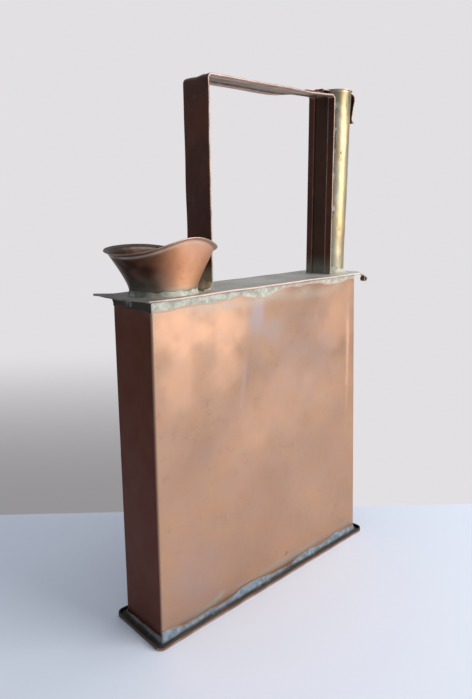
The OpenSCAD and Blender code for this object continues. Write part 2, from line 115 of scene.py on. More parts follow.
@dataclass
class Lattice:
    """A surface as a grid of points, with what is painted on its vertices.

    Point (i, j) of the grid joins (i + 1, j), (i + 1, j + 1) and (i, j + 1) in a face;
    a closed direction also joins its last row to its first. Faces marked in ``skip``
    are left out, and ``pole`` closes the ring of the points (i, 0) with one face.
    """

    points: np.ndarray
    paint: Paint = field(default_factory=dict)
    close_u: bool = False
    close_v: bool = False
    flip: bool = False
    skip: np.ndarray | None = None
    pole: bool = False

    def faces(self) -> np.ndarray:
        """The vertex numbers of the grid's four-sided faces."""
        nu, nv = self.points.shape[:2]
        i = np.arange(nu if self.close_u else nu - 1)[:, None]
        j = np.arange(nv if self.close_v else nv - 1)[None, :]
        i1, j1 = (i + 1) % nu, (j + 1) % nv
        quads = np.stack([i * nv + j, i1 * nv + j, i1 * nv + j1, i * nv + j1], -1)
        quads = quads.reshape(-1, 4)
        if self.skip is not None:
            quads = quads[~self.skip.reshape(-1)]
        return quads[:, ::-1] if self.flip else quads

    def pole_face(self) -> list[list[int]]:
        """The face that closes a polar grid's centre, if it has one."""
        nu, nv = self.points.shape[:2]
        ring = [i * nv for i in range(nu)]
        return [ring if self.flip else ring[::-1]] if self.pole else []

    def caps(self) -> list[list[int]]:
        """The end faces of a grid that is closed in v only."""
        nu, nv = self.points.shape[:2]
        if self.close_u or not self.close_v:
            return []
        first = list(range(nv))
        last = [(nu - 1) * nv + j for j in range(nv)][::-1]
        ends = [first, last]
        return [e[::-1] for e in ends] if self.flip else ends


def build_mesh(name: str, parts: list[Lattice], capped: bool = True) -> bpy.types.Object:
    """Puts one or more grids into one object at the origin.

    Args:
        name: The new piece's name.
        parts: The grids, in metres in the row frame.
        capped: Whether grids that are closed in v only get end faces.

    Returns:
        The linked object, smooth shaded, with one float attribute for each paint.
    """
    points, faces, start = [], [], 0
    for part in parts:
        points.append(part.points.reshape(-1, 3))
        faces += (part.faces() + start).tolist()
        ends = part.pole_face() + (part.caps() if capped else [])
        faces += [[start + k for k in end] for end in ends]
        start += points[-1].shape[0]
    mesh = bpy.data.meshes.new(name)
    mesh.from_pydata(np.concatenate(points).tolist(), [], faces)
    for key in sorted({k for part in parts for k in part.paint}):
        values = [
            np.broadcast_to(part.paint.get(key, 0.0), part.points.shape[:2]).reshape(-1)
            for part in parts
        ]
        attribute = mesh.attributes.new(key, "FLOAT", "POINT")
        attribute.data.foreach_set("value", np.concatenate(values).astype(np.float32))
    mesh.validate()
    mesh.shade_smooth()
    made = bpy.data.objects.new(name, mesh)
    bpy.context.scene.collection.objects.link(made)
    return made


def thicken(piece: bpy.types.Object, wall: float, side: float = -1.0) -> None:
    """Gives a sheet its wall and rounds its rims with live modifiers.

    Args:
        piece: A piece whose mesh is an open sheet.
        wall: The sheet's thickness in metres.
        side: -1 grows the wall behind the faces, 1 before them and 0 to both sides.
    """
    solid = piece.modifiers.new("wall", "SOLIDIFY")
    solid.thickness = wall
    solid.offset = side
    solid.use_even_offset = True
    rim = piece.modifiers.new("rim", "BEVEL")
    rim.width = wall * 0.3
    rim.segments = 2
    rim.limit_method = "ANGLE"
    rim.angle_limit = math.radians(50)
    rim.use_clamp_overlap = True
    rim.harden_normals = False
    piece.modifiers.new("shade", "WEIGHTED_NORMAL").keep_sharp = True


class Slot(Enum):
    """The record's material slots."""

    BODY = "copper_body"
    CUP = "copper_cup"
    PLATE = "copper_plate"
    DARK = "copper_dark"
    TUBE = "brass_tube"
    SOLDER = "solder"


def install(
    piece: bpy.types.Object,
    finish: bpy.types.Material,
    body: str = ROOT,
    stands_for: tuple[str, ...] = (),
) -> None:
    """Gives a new piece its finish, its body and the nodes that it stands for.

    Args:
        piece: The finished piece.
        finish: Its material.
        body: The body that carries the piece.
        stands_for: The solids that the piece replaces.
    """
    piece.data.materials.clear()
    piece.data.materials.append(finish)
    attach(piece, body)
    if stands_for:
        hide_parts(*stands_for)
    log.info("%s: %d faces on %s", piece.name, len(piece.data.polygons), body)


def refinish(nodes: dict[str, bpy.types.Object], name: str, finish: bpy.types.Material) -> None:
    """Gives a carried-over solid a node material in place of its plain one."""
    node = nodes[name]
    node.data.materials.clear()
    node.data.materials.append(finish)
    log.info("%s: kept solid, %s", name, finish.name)


# ---------------------------------------------------------------- shader groups


class Graph:
    """Small helper that adds and joins shader nodes in one tree."""

    def __init__(self, tree: bpy.types.NodeTree) -> None:
        """Takes the tree to work in."""
        self.tree = tree

    def add(self, kind: str, values: dict | None = None, **settings: object) -> bpy.types.Node:
        """Adds a node.

        Args:
            kind: The node's type name without its ShaderNode prefix.
            values: Input sockets by name or number, each a constant or another socket.
            settings: Properties of the node itself.

        Returns:
            The new node.
        """
        node = self.tree.nodes.new("ShaderNode" + kind)
        for key, value in settings.items():
            setattr(node, key, value)
        for key, value in (values or {}).items():
            self.feed(node.inputs[key], value)
        return node

    def feed(self, socket: bpy.types.NodeSocket, value: object) -> None:
        """Joins a socket to another socket, or sets its constant."""
        if isinstance(value, bpy.types.NodeSocket):
            self.tree.links.new(value, socket)
        elif isinstance(value, tuple) and len(value) == 3 and socket.type == "RGBA":
            socket.default_value = (*value, 1.0)
        else:
            socket.default_value = value

    def maths(self, operation: str, *inputs: object, clamp: bool = False) -> bpy.types.NodeSocket:
        """One Math node's result."""
        values = dict(enumerate(inputs))
        return self.add("Math", values, operation=operation, use_clamp=clamp).outputs[0]

    def mix(self, share: object, first: object, second: object, blend: str = "MIX") -> bpy.types.NodeSocket:
        """A colour mixed from first to second by share."""
        node = self.tree.nodes.new("ShaderNodeMix")
        node.data_type = "RGBA"
        node.blend_type = blend
        node.clamp_factor = True
        self.feed(node.inputs[0], share)
        self.feed(node.inputs[6], first)
        self.feed(node.inputs[7], second)
        return node.outputs[2]

    def step(self, value: object, low: float, high: float) -> bpy.types.NodeSocket:
        """Value mapped smoothly from low..high to 0..1."""
        values = {"Value": value, "From Min": low, "From Max": high}
        node = self.add("MapRange", values, interpolation_type="SMOOTHSTEP")
        return node.outputs[0]

    def paint(self, name: str) -> bpy.types.NodeSocket:
        """A float attribute of the mesh."""
        return self.add("Attribute", attribute_name=name).outputs["Fac"]

    def noise(self, where: object, scale: object, detail: float = 4.0, rough: float = 0.55) -> bpy.types.NodeSocket:
        """Fractal noise from 0 to 1 at object coordinates."""
        values = {"Vector": where, "Scale": scale, "Detail": detail, "Roughness": rough}
        return self.add("TexNoise", values).outputs["Fac"]


def start_group(name: str, inputs: dict[str, object], outputs: dict[str, str]) -> tuple[bpy.types.NodeTree, Graph, bpy.types.Node, bpy.types.Node]:
    """Opens a shader group with named sockets.

    Args:
        name: The group's name.
        inputs: Each input's name and default; three numbers make a colour socket.
        outputs: Each output's name and its kind, "Float" or "Color".

    Returns:
        The group, a helper for it, and its input and output nodes.
    """
    group = bpy.data.node_groups.new(name, "ShaderNodeTree")
    for key, default in inputs.items():
        kind = "Color" if isinstance(default, tuple) else "Float"
        socket = group.interface.new_socket(key, in_out="INPUT", socket_type="NodeSocket" + kind)
        socket.default_value = (*default, 1.0) if isinstance(default, tuple) else default
    for key, kind in outputs.items():
        group.interface.new_socket(key, in_out="OUTPUT", socket_type="NodeSocket" + kind)
    graph = Graph(group)
    return group, graph, group.nodes.new("NodeGroupInput"), group.nodes.new("NodeGroupOutput")


class Effects:
    """The shader groups that several finishes share, each built once."""

    def __init__(self) -> None:
        """Builds the groups."""
        self.tarnish = self._tarnish()
        self.verdigris = self._verdigris()
        self.handling = self._handling()

    def _tarnish(self) -> bpy.types.NodeTree:
        """Cloudy tarnish: a colour drifts between three tones at two scales."""
        group, g, gin, gout = start_group(
            "tarnish",
            {"Light": (0.6, 0.4, 0.3), "Middle": (0.5, 0.3, 0.2), "Dark": (0.2, 0.1, 0.1), "Scale": 9.0, "Spots": 0.3},
            {"Color": "Color", "Cloud": "Float"},
        )
        where = g.add("TexCoord").outputs["Object"]
        broad = g.noise(where, gin.outputs["Scale"], 3.0, 0.5)
        small = g.noise(where, g.maths("MULTIPLY", gin.outputs["Scale"], 9.0), 5.0, 0.65)
        base = g.mix(g.step(broad, 0.38, 0.62), gin.outputs["Middle"], gin.outputs["Light"])
        share = g.maths("MULTIPLY", g.step(small, 0.52, 0.78), gin.outputs["Spots"])
        g.feed(gout.inputs["Color"], g.mix(share, base, gin.outputs["Dark"]))
        g.feed(gout.inputs["Cloud"], broad)
        return group

    def _verdigris(self) -> bpy.types.NodeTree:
        """Pale green bloom that breaks up into blots where its mask is low."""
        group, g, gin, gout = start_group(
            "verdigris",
            {"Base": (0.4, 0.3, 0.2), "Pale": srgb(196, 204, 190), "Deep": srgb(132, 144, 128), "Mask": 1.0, "Scale": 60.0},
            {"Color": "Color", "Cover": "Float", "Height": "Float"},
        )
        where = g.add("TexCoord").outputs["Object"]
        blot = g.noise(where, gin.outputs["Scale"], 5.0, 0.62)
        grain = g.noise(where, g.maths("MULTIPLY", gin.outputs["Scale"], 4.0), 4.0, 0.6)
        level = g.maths("ADD", blot, g.maths("MULTIPLY", g.maths("SUBTRACT", gin.outputs["Mask"], 0.5), 0.9))
        cover = g.step(level, 0.34, 0.70)
        tone = g.mix(g.step(grain, 0.36, 0.64), gin.outputs["Deep"], gin.outputs["Pale"])
        g.feed(gout.inputs["Color"], g.mix(cover, gin.outputs["Base"], tone))
        g.feed(gout.inputs["Cover"], cover)
        g.feed(gout.inputs["Height"], g.maths("MULTIPLY", grain, cover))
        return group

    def _handling(self) -> bpy.types.NodeTree:
        """Fine scratches and pits: stretched noise cut to thin lines, and small grain."""
        group, g, gin, gout = start_group(
            "handling", {"Scale": 60.0, "Amount": 1.0}, {"Lines": "Float", "Height": "Float"}
        )
        where = g.add("TexCoord").outputs["Object"]
        lines = None
        for turn, stretch in ((0.5, (1.0, 1.0, 0.06)), (-0.35, (0.07, 1.0, 1.0)), (1.2, (1.0, 0.5, 0.08))):
            spun = g.add("Mapping", {"Vector": where, "Rotation": (0.0, turn, 0.0), "Scale": stretch})
            thread = g.noise(spun.outputs[0], g.maths("MULTIPLY", gin.outputs["Scale"], 6.0), 2.0, 0.5)
            thin = g.maths("SUBTRACT", 1.0, g.step(g.maths("ABSOLUTE", g.maths("SUBTRACT", thread, 0.5)), 0.0, 0.018))
            lines = thin if lines is None else g.maths("MAXIMUM", lines, thin)
        patch = g.step(g.noise(where, gin.outputs["Scale"], 2.0), 0.5, 0.7)
        seen = g.maths("MULTIPLY", g.maths("MULTIPLY", lines, patch), gin.outputs["Amount"])
        grain = g.noise(where, g.maths("MULTIPLY", gin.outputs["Scale"], 14.0), 3.0)
        g.feed(gout.inputs["Lines"], seen)
        g.feed(gout.inputs["Height"], g.maths("SUBTRACT", g.maths("MULTIPLY", grain, 0.35), seen))
        return group


@dataclass(frozen=True)
class Metal:
    """A worn sheet metal finish.

    Reads the painted attributes ``dark`` (a darker tone; on shaded sides, ends, grooves
    and under overhangs it is painted shade), ``glow`` (a brighter tone: painted highlights
    on most pieces, a lighter streaked bar on the handle), ``lilac`` (a lilac tone: random
    bloom, painted reflections high on the front, painted shade inside the cup), ``haze``
    (soft pale veil), ``edge`` (worn rims, with painted highlights along edges that face
    the light) and ``green`` (verdigris in blots).
    """

    name: str
    light: Colour
    middle: Colour
    spots: Colour
    dark: Colour
    edge: Colour
    glow: Colour
    rough: float = 0.42
    metallic: float = 0.9
    cloud_scale: float = 9.0
    spot_share: float = 0.35
    scratch: float = 0.6
    lilac: Colour = srgb(196, 176, 178)
    pale: Colour = srgb(196, 204, 190)
    deep: Colour = srgb(132, 142, 124)
    haze: Colour = srgb(196, 196, 182)
    haze_scale: float = 60.0
    green_scale: float = 45.0
    bump: float = 0.12

    def build(self, effects: Effects) -> bpy.types.Material:
        """Makes the node material."""
        made = bpy.data.materials.new(self.name)
        made.use_nodes = True
        made.node_tree.nodes.clear()
        g = Graph(made.node_tree)
        cloud = g.add("Group", node_tree=effects.tarnish)
        for key, value in {"Light": self.light, "Middle": self.middle, "Dark": self.spots,
                           "Scale": self.cloud_scale, "Spots": self.spot_share}.items():
            g.feed(cloud.inputs[key], value)
        # glow lays on painted highlights, lilac a lilac tone that is partly painted reflection, dark a darker tone that
        # is mostly painted shade
        colour = g.mix(g.paint("glow"), cloud.outputs["Color"], self.glow)
        colour = g.mix(g.paint("lilac"), colour, self.lilac)
        colour = g.mix(g.paint("dark"), colour, self.dark)
        marks = g.add("Group", node_tree=effects.handling)
        g.feed(marks.inputs["Amount"], self.scratch)
        clean = g.maths("SUBTRACT", 0.35, g.maths("MULTIPLY", g.paint("dark"), 0.33), clamp=True)
        colour = g.mix(g.maths("MULTIPLY", marks.outputs["Lines"], clean), colour, self.edge)
        colour = g.mix(g.paint("edge"), colour, self.edge)
        where = g.add("TexCoord").outputs["Object"]
        drift = g.maths("ADD", 0.5, g.noise(where, self.haze_scale, 4.0))
        colour = g.mix(g.maths("MULTIPLY", g.paint("haze"), drift, clamp=True), colour, self.haze)
        bloom = g.add("Group", node_tree=effects.verdigris)
        for key, value in {"Base": colour, "Pale": self.pale, "Deep": self.deep,
                           "Mask": g.paint("green"), "Scale": self.green_scale}.items():
            g.feed(bloom.inputs[key], value)
        cover = bloom.outputs["Cover"]
        rough = g.maths("ADD", self.rough - 0.06, g.maths("MULTIPLY", cloud.outputs["Cloud"], 0.14))
        rough = g.maths("ADD", rough, g.maths("MULTIPLY", cover, 0.3), clamp=True)
        metallic = g.maths("SUBTRACT", self.metallic, g.maths("MULTIPLY", cover, self.metallic * 0.8))
        height = g.maths("ADD", marks.outputs["Height"], g.maths("MULTIPLY", bloom.outputs["Height"], 1.2))
        bump = g.add("Bump", {"Strength": self.bump, "Distance": 0.0006, "Height": height})
        shader = g.add("BsdfPrincipled", {
            "Base Color": bloom.outputs["Color"], "Roughness": rough, "Metallic": metallic,
            "Normal": bump.outputs[0]})
        out = g.add("OutputMaterial")
        g.feed(out.inputs["Surface"], shader.outputs[0])
        return made


@dataclass(frozen=True)
class OldSolder:
    """Soft solder under pale green bloom.

    Reads ``green`` (more bloom), ``dark`` (painted shade in grooves, gaps, on the ends
    and under the plate) and ``fade`` (thin, so that the copper below shows).
    """

    name: str
    pale: Colour = srgb(210, 208, 192)
    deep: Colour = srgb(172, 170, 154)
    metal: Colour = srgb(188, 170, 150)
    painted_shade: Colour = srgb(54, 44, 36)
    rust: Colour = srgb(208, 170, 146)
    scale: float = 40.0
    bump: float = 0.3

    def build(self, effects: Effects) -> bpy.types.Material:
        """Makes the node material."""
        made = bpy.data.materials.new(self.name)
        made.use_nodes = True
        made.node_tree.nodes.clear()
        g = Graph(made.node_tree)
        where = g.add("TexCoord").outputs["Object"]
        stain = g.mix(g.step(g.noise(where, self.scale * 0.35, 3.0), 0.5, 0.66), self.metal, self.rust)
        bloom = g.add("Group", node_tree=effects.verdigris)
        mask = g.maths("ADD", 0.62, g.maths("MULTIPLY", g.paint("green"), 0.4))
        for key, value in {"Base": stain, "Pale": self.pale, "Deep": self.deep, "Mask": mask,
                           "Scale": self.scale}.items():
            g.feed(bloom.inputs[key], value)
        # darkening: painted shade from the dark paint, broken up by noise
        darkening = g.maths("MULTIPLY", g.paint("dark"), g.step(g.noise(where, self.scale * 1.6, 4.0), 0.2, 0.5))
        torn = g.maths("ADD", g.paint("fade"), g.maths("SUBTRACT", g.noise(where, self.scale * 3.0, 4.0), 0.5))
        thin = g.maths("MULTIPLY", g.step(torn, 0.25, 0.85), 0.9)
        colour = g.mix(darkening, g.mix(thin, bloom.outputs["Color"], self.rust), self.painted_shade)
        grain = g.noise(where, self.scale * 9.0, 5.0, 0.65)
        height = g.maths("ADD", bloom.outputs["Height"], g.maths("MULTIPLY", grain, 0.3))
        bump = g.add("Bump", {"Strength": self.bump, "Distance": 0.0005, "Height": height})
        rough = g.maths("ADD", 0.5, g.maths("MULTIPLY", bloom.outputs["Cover"], 0.28))
        shader = g.add("BsdfPrincipled", {
            "Base Color": colour, "Roughness": rough, "Metallic": 0.25, "Normal": bump.outputs[0]})
        out = g.add("OutputMaterial")
        g.feed(out.inputs["Surface"], shader.outputs[0])
        return made


class Finishes:
    """Every finish of the can, as built materials."""

    def __init__(self) -> None:
        """Builds the shared groups and the materials."""
        fx = Effects()
        # body: glow is the painted highlight colour, dark the painted shade on the ends, lilac the bloom and painted
        # reflection colour
        self.body = Metal(
            "worn_copper", light=srgb(176, 138, 110), middle=srgb(160, 126, 104), spots=srgb(130, 98, 80),
            dark=srgb(92, 42, 24), edge=srgb(196, 160, 140), glow=srgb(224, 174, 140), lilac=srgb(176, 156, 152),
            haze=srgb(186, 170, 154), rough=0.44, metallic=0.85, cloud_scale=12.0, spot_share=0.42,
            scratch=0.5, bump=0.16).build(fx)
        # cup: lilac is the colour of the painted shade inside, dark that of the painted shade on the left side, glow
        # that of the painted highlight
        self.cup = Metal(
            "cup_copper", light=srgb(220, 160, 118), middle=srgb(204, 140, 100), spots=srgb(140, 86, 62),
            dark=srgb(50, 22, 14), edge=srgb(196, 176, 160), glow=srgb(222, 168, 142),
            lilac=srgb(66, 56, 52), haze=srgb(178, 180, 162), rough=0.4, metallic=0.85,
            cloud_scale=20.0, spot_share=0.35, scratch=0.4).build(fx)
        self.plate = Metal(
            "dull_plate", light=srgb(198, 194, 184), middle=srgb(178, 174, 164), spots=srgb(126, 124, 116),
            dark=srgb(84, 76, 58), edge=srgb(228, 190, 174), glow=srgb(212, 202, 190),
            haze=srgb(216, 214, 204), rough=0.5, metallic=0.45, cloud_scale=26.0, spot_share=0.45,
            bump=0.2).build(fx)
        self.dark = Metal(
            "oxidised_copper", light=srgb(90, 48, 32), middle=srgb(72, 40, 28), spots=srgb(46, 30, 22),
            dark=srgb(42, 40, 28), edge=srgb(200, 172, 156), glow=srgb(196, 170, 156),
            haze=srgb(160, 170, 152), rough=0.44, metallic=0.7, cloud_scale=24.0, spot_share=0.4,
            scratch=0.25, bump=0.15).build(fx)
        # brass: glow is the colour of the painted highlight down the tube
        self.brass = Metal(
            "polished_brass", light=srgb(192, 172, 130), middle=srgb(174, 152, 112), spots=srgb(132, 118, 88),
            dark=srgb(54, 52, 40), edge=srgb(212, 196, 160), glow=srgb(198, 170, 124),
            pale=srgb(176, 174, 158), deep=srgb(128, 128, 110), haze=srgb(168, 162, 144), rough=0.4,
            metallic=0.85, cloud_scale=30.0, spot_share=0.35, green_scale=70.0, scratch=0.4, bump=0.12).build(fx)
        self.solder = OldSolder("old_solder").build(fx)
        self.base_solder = OldSolder(
            "base_solder", pale=srgb(154, 168, 180), deep=srgb(116, 128, 140), metal=srgb(122, 120, 114),
            rust=srgb(150, 120, 104), painted_shade=srgb(48, 48, 42)).build(fx)


# ---------------------------------------------------------------- body


@dataclass(frozen=True)
class Outline:
    """The body's tapering footprint, a rectangle with rounded corners.

    A point of the outline is ``c * (half - corner) + (corner + out) * n``, with c a
    place on the rectangle from -1 to 1, n the way out, and half the half length, which
    shrinks evenly with height.
    """

    half_low: float = 153.6 * MM
    half_high: float = 144.7 * MM
    half_w: float = 31.5 * MM
    corner: float = 2.2 * MM
    z_low: float = 1.0 * MM
    z_high: float = 336.5 * MM

    def half(self, z: np.ndarray) -> np.ndarray:
        """Half the body's length at height z."""
        return self.half_low + (self.half_high - self.half_low) * (z - self.z_low) / (self.z_high - self.z_low)

    def ring(self, step: float, corner_steps: int = 5) -> tuple[np.ndarray, np.ndarray]:
        """Places and ways out all round, from the front's left corner.

        Args:
            step: Spacing of the points along the straight sides.
            corner_steps: Points on each corner's arc.

        Returns:
            Two arrays of shape (n, 2).
        """
        places, ways = [], []
        for side in range(4):
            along = np.array([(1, 0), (0, 1), (-1, 0), (0, -1)][side], float)
            out = np.array([(0, -1), (1, 0), (0, 1), (-1, 0)][side], float)
            count = max(3, round((2 * self.half_low if side % 2 == 0 else 2 * self.half_w) / step))
            t = np.linspace(-1.0, 1.0, count)[:, None]
            places.append(t * along + out)
            ways.append(np.repeat(out[None], count, 0))
            a = np.linspace(0.0, math.pi / 2, corner_steps + 2)[1:-1, None]
            places.append(np.repeat((along + out)[None], corner_steps, 0))
            ways.append(np.cos(a) * out + np.sin(a) * along)
        return np.concatenate(places), np.concatenate(ways)

    def at(self, place: np.ndarray, way: np.ndarray, z: np.ndarray, out: np.ndarray) -> np.ndarray:
        """Points at height z that stand ``out`` before the wall."""
        x = place[..., 0] * (self.half(z) - self.corner) + (self.corner + out) * way[..., 0]
        y = place[..., 1] * (self.half_w - self.corner) + (self.corner + out) * way[..., 1]
        return np.stack(np.broadcast_arrays(x, y, z), -1)


@dataclass(frozen=True)
class Stain:
    """An oval mark with a torn border: what it paints, where, how large, how strong."""

    paint: str
    x: float
    z: float
    wide: float
    high: float
    share: float
    tilt: float = 0.0

    def on(self, points: np.ndarray) -> np.ndarray:
        """Share of the mark at each point: a bell over the tilted oval, torn by waves.

        Args:
            points: Points of the front.

        Returns:
            The bell's value, steepened where it passes from a quarter to three quarters.
        """
        dx, dz = points[..., 0] - self.x, points[..., 2] - self.z
        a = dx * math.cos(self.tilt) + dz * math.sin(self.tilt)
        b = dz * math.cos(self.tilt) - dx * math.sin(self.tilt)
        torn = 1.0 + 0.16 * Waves(38 * MM, 5, 30)(points) + 0.06 * Waves(14 * MM, 6, 30)(points)
        bell = np.clip(np.exp(-((a / self.wide) ** 2 + (b / self.high) ** 2)) * torn, 0, 1)
        return self.share * (0.5 * bell + 0.5 * smooth(bell, 0.2, 0.8))


@dataclass
class BodyShell:
    """The box body: a bent sheet for front and ends, a lapped back, and two beads."""

    outline: Outline = field(default_factory=Outline)
    sheet: float = 0.9 * MM
    flange: float = 12 * MM
    bead_w: float = 3 * MM
    bead_t: float = 0.9 * MM
    # glow stains are painted highlights and the thin glow line at x 0.133 a painted glint; lilac stains from z 0.245 up
    # are painted reflections, one along the crease; haze and dark stains are bloom and a spot
    stains: tuple[Stain, ...] = (
        Stain("glow", -0.112, 0.308, 0.036, 0.030, 0.85),
        Stain("glow", -0.054, 0.306, 0.030, 0.030, 0.85),
        Stain("glow", -0.118, 0.258, 0.022, 0.040, 0.5),
        Stain("glow", -0.060, 0.262, 0.026, 0.024, 0.45, 0.5),
        Stain("glow", 0.118, 0.290, 0.040, 0.050, 0.45),
        Stain("glow", 0.100, 0.215, 0.050, 0.030, 0.2),
        Stain("glow", 0.010, 0.205, 0.060, 0.045, 0.28),
        Stain("lilac", -0.018, 0.307, 0.012, 0.028, 0.85, -0.2),
        Stain("lilac", 0.008, 0.288, 0.018, 0.014, 0.4),
        Stain("lilac", 0.060, 0.250, 0.050, 0.050, 0.2),
        Stain("lilac", -0.0365, 0.245, 0.0020, 0.034, 0.5, -0.16),
        Stain("glow", 0.1330, 0.245, 0.0026, 0.062, 0.8),
        Stain("lilac", -0.105, 0.055, 0.040, 0.040, 0.3),
        Stain("haze", -0.106, 0.010, 0.020, 0.004, 0.8, 0.2),
        Stain("haze", -0.082, 0.015, 0.012, 0.003, 0.7, 0.4),
        Stain("haze", 0.020, 0.014, 0.060, 0.004, 0.45),
        Stain("haze", -0.040, 0.322, 0.050, 0.005, 0.5),
        Stain("haze", 0.070, 0.321, 0.050, 0.006, 0.45),
        Stain("dark", 0.0238, 0.0226, 0.0016, 0.0012, 0.9),
    )

    def dents(self, points: np.ndarray) -> np.ndarray:
        """How far the front bulges: broad and middling waves that fade at its borders."""
        u = np.clip(points[..., 0] / self.outline.half(points[..., 2]), -1, 1)
        v = points[..., 2] / self.outline.z_high
        fade = (1 - u**4) * (1 - (2 * v - 1) ** 6)
        crease = bump_at(points[..., 0] - 0.16 * (points[..., 2] - 0.245), -0.0361, 0.006)
        crease = crease * bump_at(points[..., 2], 0.245, 0.045)
        wave = 0.45 * Waves(0.16, 21)(points) + 0.1 * Waves(0.05, 22)(points)
        return fade * (wave + 0.5 * crease - 0.2) * MM

    def wall_path(self) -> tuple[np.ndarray, np.ndarray, np.ndarray]:
        """The wrap's plan, from the left flange over the front to the right flange."""
        place, way = self.outline.ring(2.6 * MM)
        back = (place[:, 1] > 0.99) & (way[:, 1] > 0.99)
        start = int(np.flatnonzero(back)[-1]) + 1
        place, way = np.roll(place, -start, 0), np.roll(way, -start, 0)
        keep = ~((place[:, 1] > 0.99) & (way[:, 1] > 0.99))
        place, way = place[keep], way[keep]
        inner = 1 - self.flange / self.outline.half_low
        flange = np.array([[-inner, 1.0], [-1.0, 1.0]])
        out = np.array([[0.0, 1.0], [0.0, 1.0]])
        place = np.concatenate([flange, place, flange[::-1] * [-1, 1]])
        way = np.concatenate([out, way, out])
        return place, way, np.abs(way[:, 0]) * np.abs(way[:, 1]) * 2

    def wrap(self) -> bpy.types.Object:
        """Front and ends in one sheet; its paint darkens the ends as painted shade and marks the front with stains,
        painted highlights and painted reflections.
        """
        place, way, corner = self.wall_path()
        z = np.linspace(self.outline.z_low, self.outline.z_high, 128)
        plan = self.outline.at(place[:, None], way[:, None], z[None, :], 0.0)
        plan[..., 1] -= self.sheet / 2 * (1 + plan[..., 1] / self.outline.half_w)
        front = (way[:, 1] < -0.5)[:, None]
        plan = plan + way_out(way) * np.where(front, self.dents(plan), 0.25 * self.dents(plan[..., [1, 0, 2]]))[..., None]
        end = np.abs(way[:, 0])[:, None] ** 2 * np.ones_like(plan[..., 0])
        mottle = 0.5 + 0.5 * np.tanh(Waves(34 * MM, 31, 30)(plan))
        low, high = plan[..., 2], self.outline.z_high - plan[..., 2]
        # darkening: painted shade in a band just under the top plate's overhang, and darker near the foot
        darkening = 0.10 * bump_at(high, 0, 9 * MM) + 0.16 * bump_at(low, 0, 26 * MM) * mottle
        paint = {
            # dark: painted shade over both ends, which face away from the light, plus the darkening bands on the front
            "dark": end * (0.955 + 0.045 * mottle) + 0.6 * darkening * (1 - end),
            # edge: worn corners; the extra on the right-hand corners is a painted highlight
            "edge": 0.55 * (corner[:, None] * (0.4 + 0.6 * mottle)) * (plan[..., 0] > 0) + 0.25 * corner[:, None],
            "haze": (0.6 * bump_at(high, 9 * MM, 6 * MM) * mottle + 0.45 * bump_at(low, 13 * MM, 6 * MM) * (0.4 + 0.6 * mottle)) * (1 - 0.8 * end),
            "lilac": 0.14 * mottle * (1 - end),
            # glow: painted light, stronger low on the front to even out the lamp's reflection
            "glow": (1 - end) * np.clip(0.36 - 0.3 * smooth(plan[..., 2], 0.12, 0.27) + 0.05 * np.tanh(Waves(0.11, 32, 24)(plan)), 0, 1),
        }
        for stain in self.stains:
            mark = stain.on(plan) * (way[:, 1] < -0.9)[:, None]
            paint[stain.paint] = paint[stain.paint] + mark
        made = build_mesh("body_sheet", [Lattice(plan, {k: np.clip(v, 0, 1) for k, v in paint.items()})])
        thicken(made, self.sheet)
        return made

    def back(self) -> bpy.types.Object:
        """The flat back sheet with its own slow waves."""
        u = np.linspace(-1, 1, 110)[:, None]
        z = np.linspace(self.outline.z_low, self.outline.z_high, 110)[None, :]
        x = u * (self.outline.half(z) - self.outline.corner)
        y = np.full_like(x, self.outline.half_w)
        plan = np.stack(np.broadcast_arrays(x, y, z), -1)
        fade = (1 - u**6) * (1 - (2 * z / self.outline.z_high - 1) ** 8)
        plan[..., 1] -= fade * np.abs(0.4 * Waves(0.15, 41)(plan)) * MM
        mottle = 0.5 + 0.3 * np.tanh(Waves(0.12, 42, 40)(plan)) + 0.12 * np.tanh(Waves(45 * MM, 43, 40)(plan))
        rim = smooth(np.abs(u) * np.ones_like(z), 0.985, 1.0)
        paint = {
            "dark": 0.25 + 0.3 * mottle, "edge": 0.3 * rim, "lilac": 0.2 * mottle,
            "haze": 0.5 * bump_at(plan[..., 2], self.outline.z_high, 12 * MM) + 0.4 * bump_at(plan[..., 2], 0, 14 * MM),
        }
        made = build_mesh("back_sheet", [Lattice(plan[::-1], {k: v[::-1] for k, v in paint.items()})])
        thicken(made, self.sheet)
        return made

    def beads(self) -> bpy.types.Object:
        """Two lumpy solder beads: a half-round profile whose size wanders with height."""
        parts = []
        low, high = 11 * MM, 327 * MM
        z = np.linspace(low, high, 160)[:, None]
        a = np.linspace(0, math.pi, 9)[None, :]
        for sign in (-1, 1):
            seed = 51 if sign < 0 else 52
            spine = np.concatenate([z * 0, z * 0, z], -1)
            size = 1 + 0.25 * Waves(14 * MM, seed)(spine)[:, None]
            edge = sign * (self.outline.half(z) - self.outline.corner - self.bead_w / 2)
            x = edge + np.cos(a) * self.bead_w / 2 * size
            y = self.outline.half_w - 0.05 * MM + np.sin(a) * self.bead_t * size
            points = np.stack(np.broadcast_arrays(x, y, z), -1)
            parts.append(Lattice(points, {"green": np.full(points.shape[:2], 0.4)}, close_v=True, flip=True))
        return build_mesh("back_beads", parts)

    def build(self, finishes: Finishes) -> None:
        """Builds and dresses the body."""
        install(self.wrap(), finishes.body, stands_for=("body_wrap",))
        install(self.back(), finishes.body, stands_for=("back_panel",))
        install(self.beads(), finishes.solder, stands_for=("back_seam_solder",))


def way_out(way: np.ndarray) -> np.ndarray:
    """Plan directions (n, 2) as (n, 1, 3) vectors that a grid of points can use."""
    return np.concatenate([way, np.zeros((len(way), 1))], 1)[:, None, :]


# ---------------------------------------------------------------- base


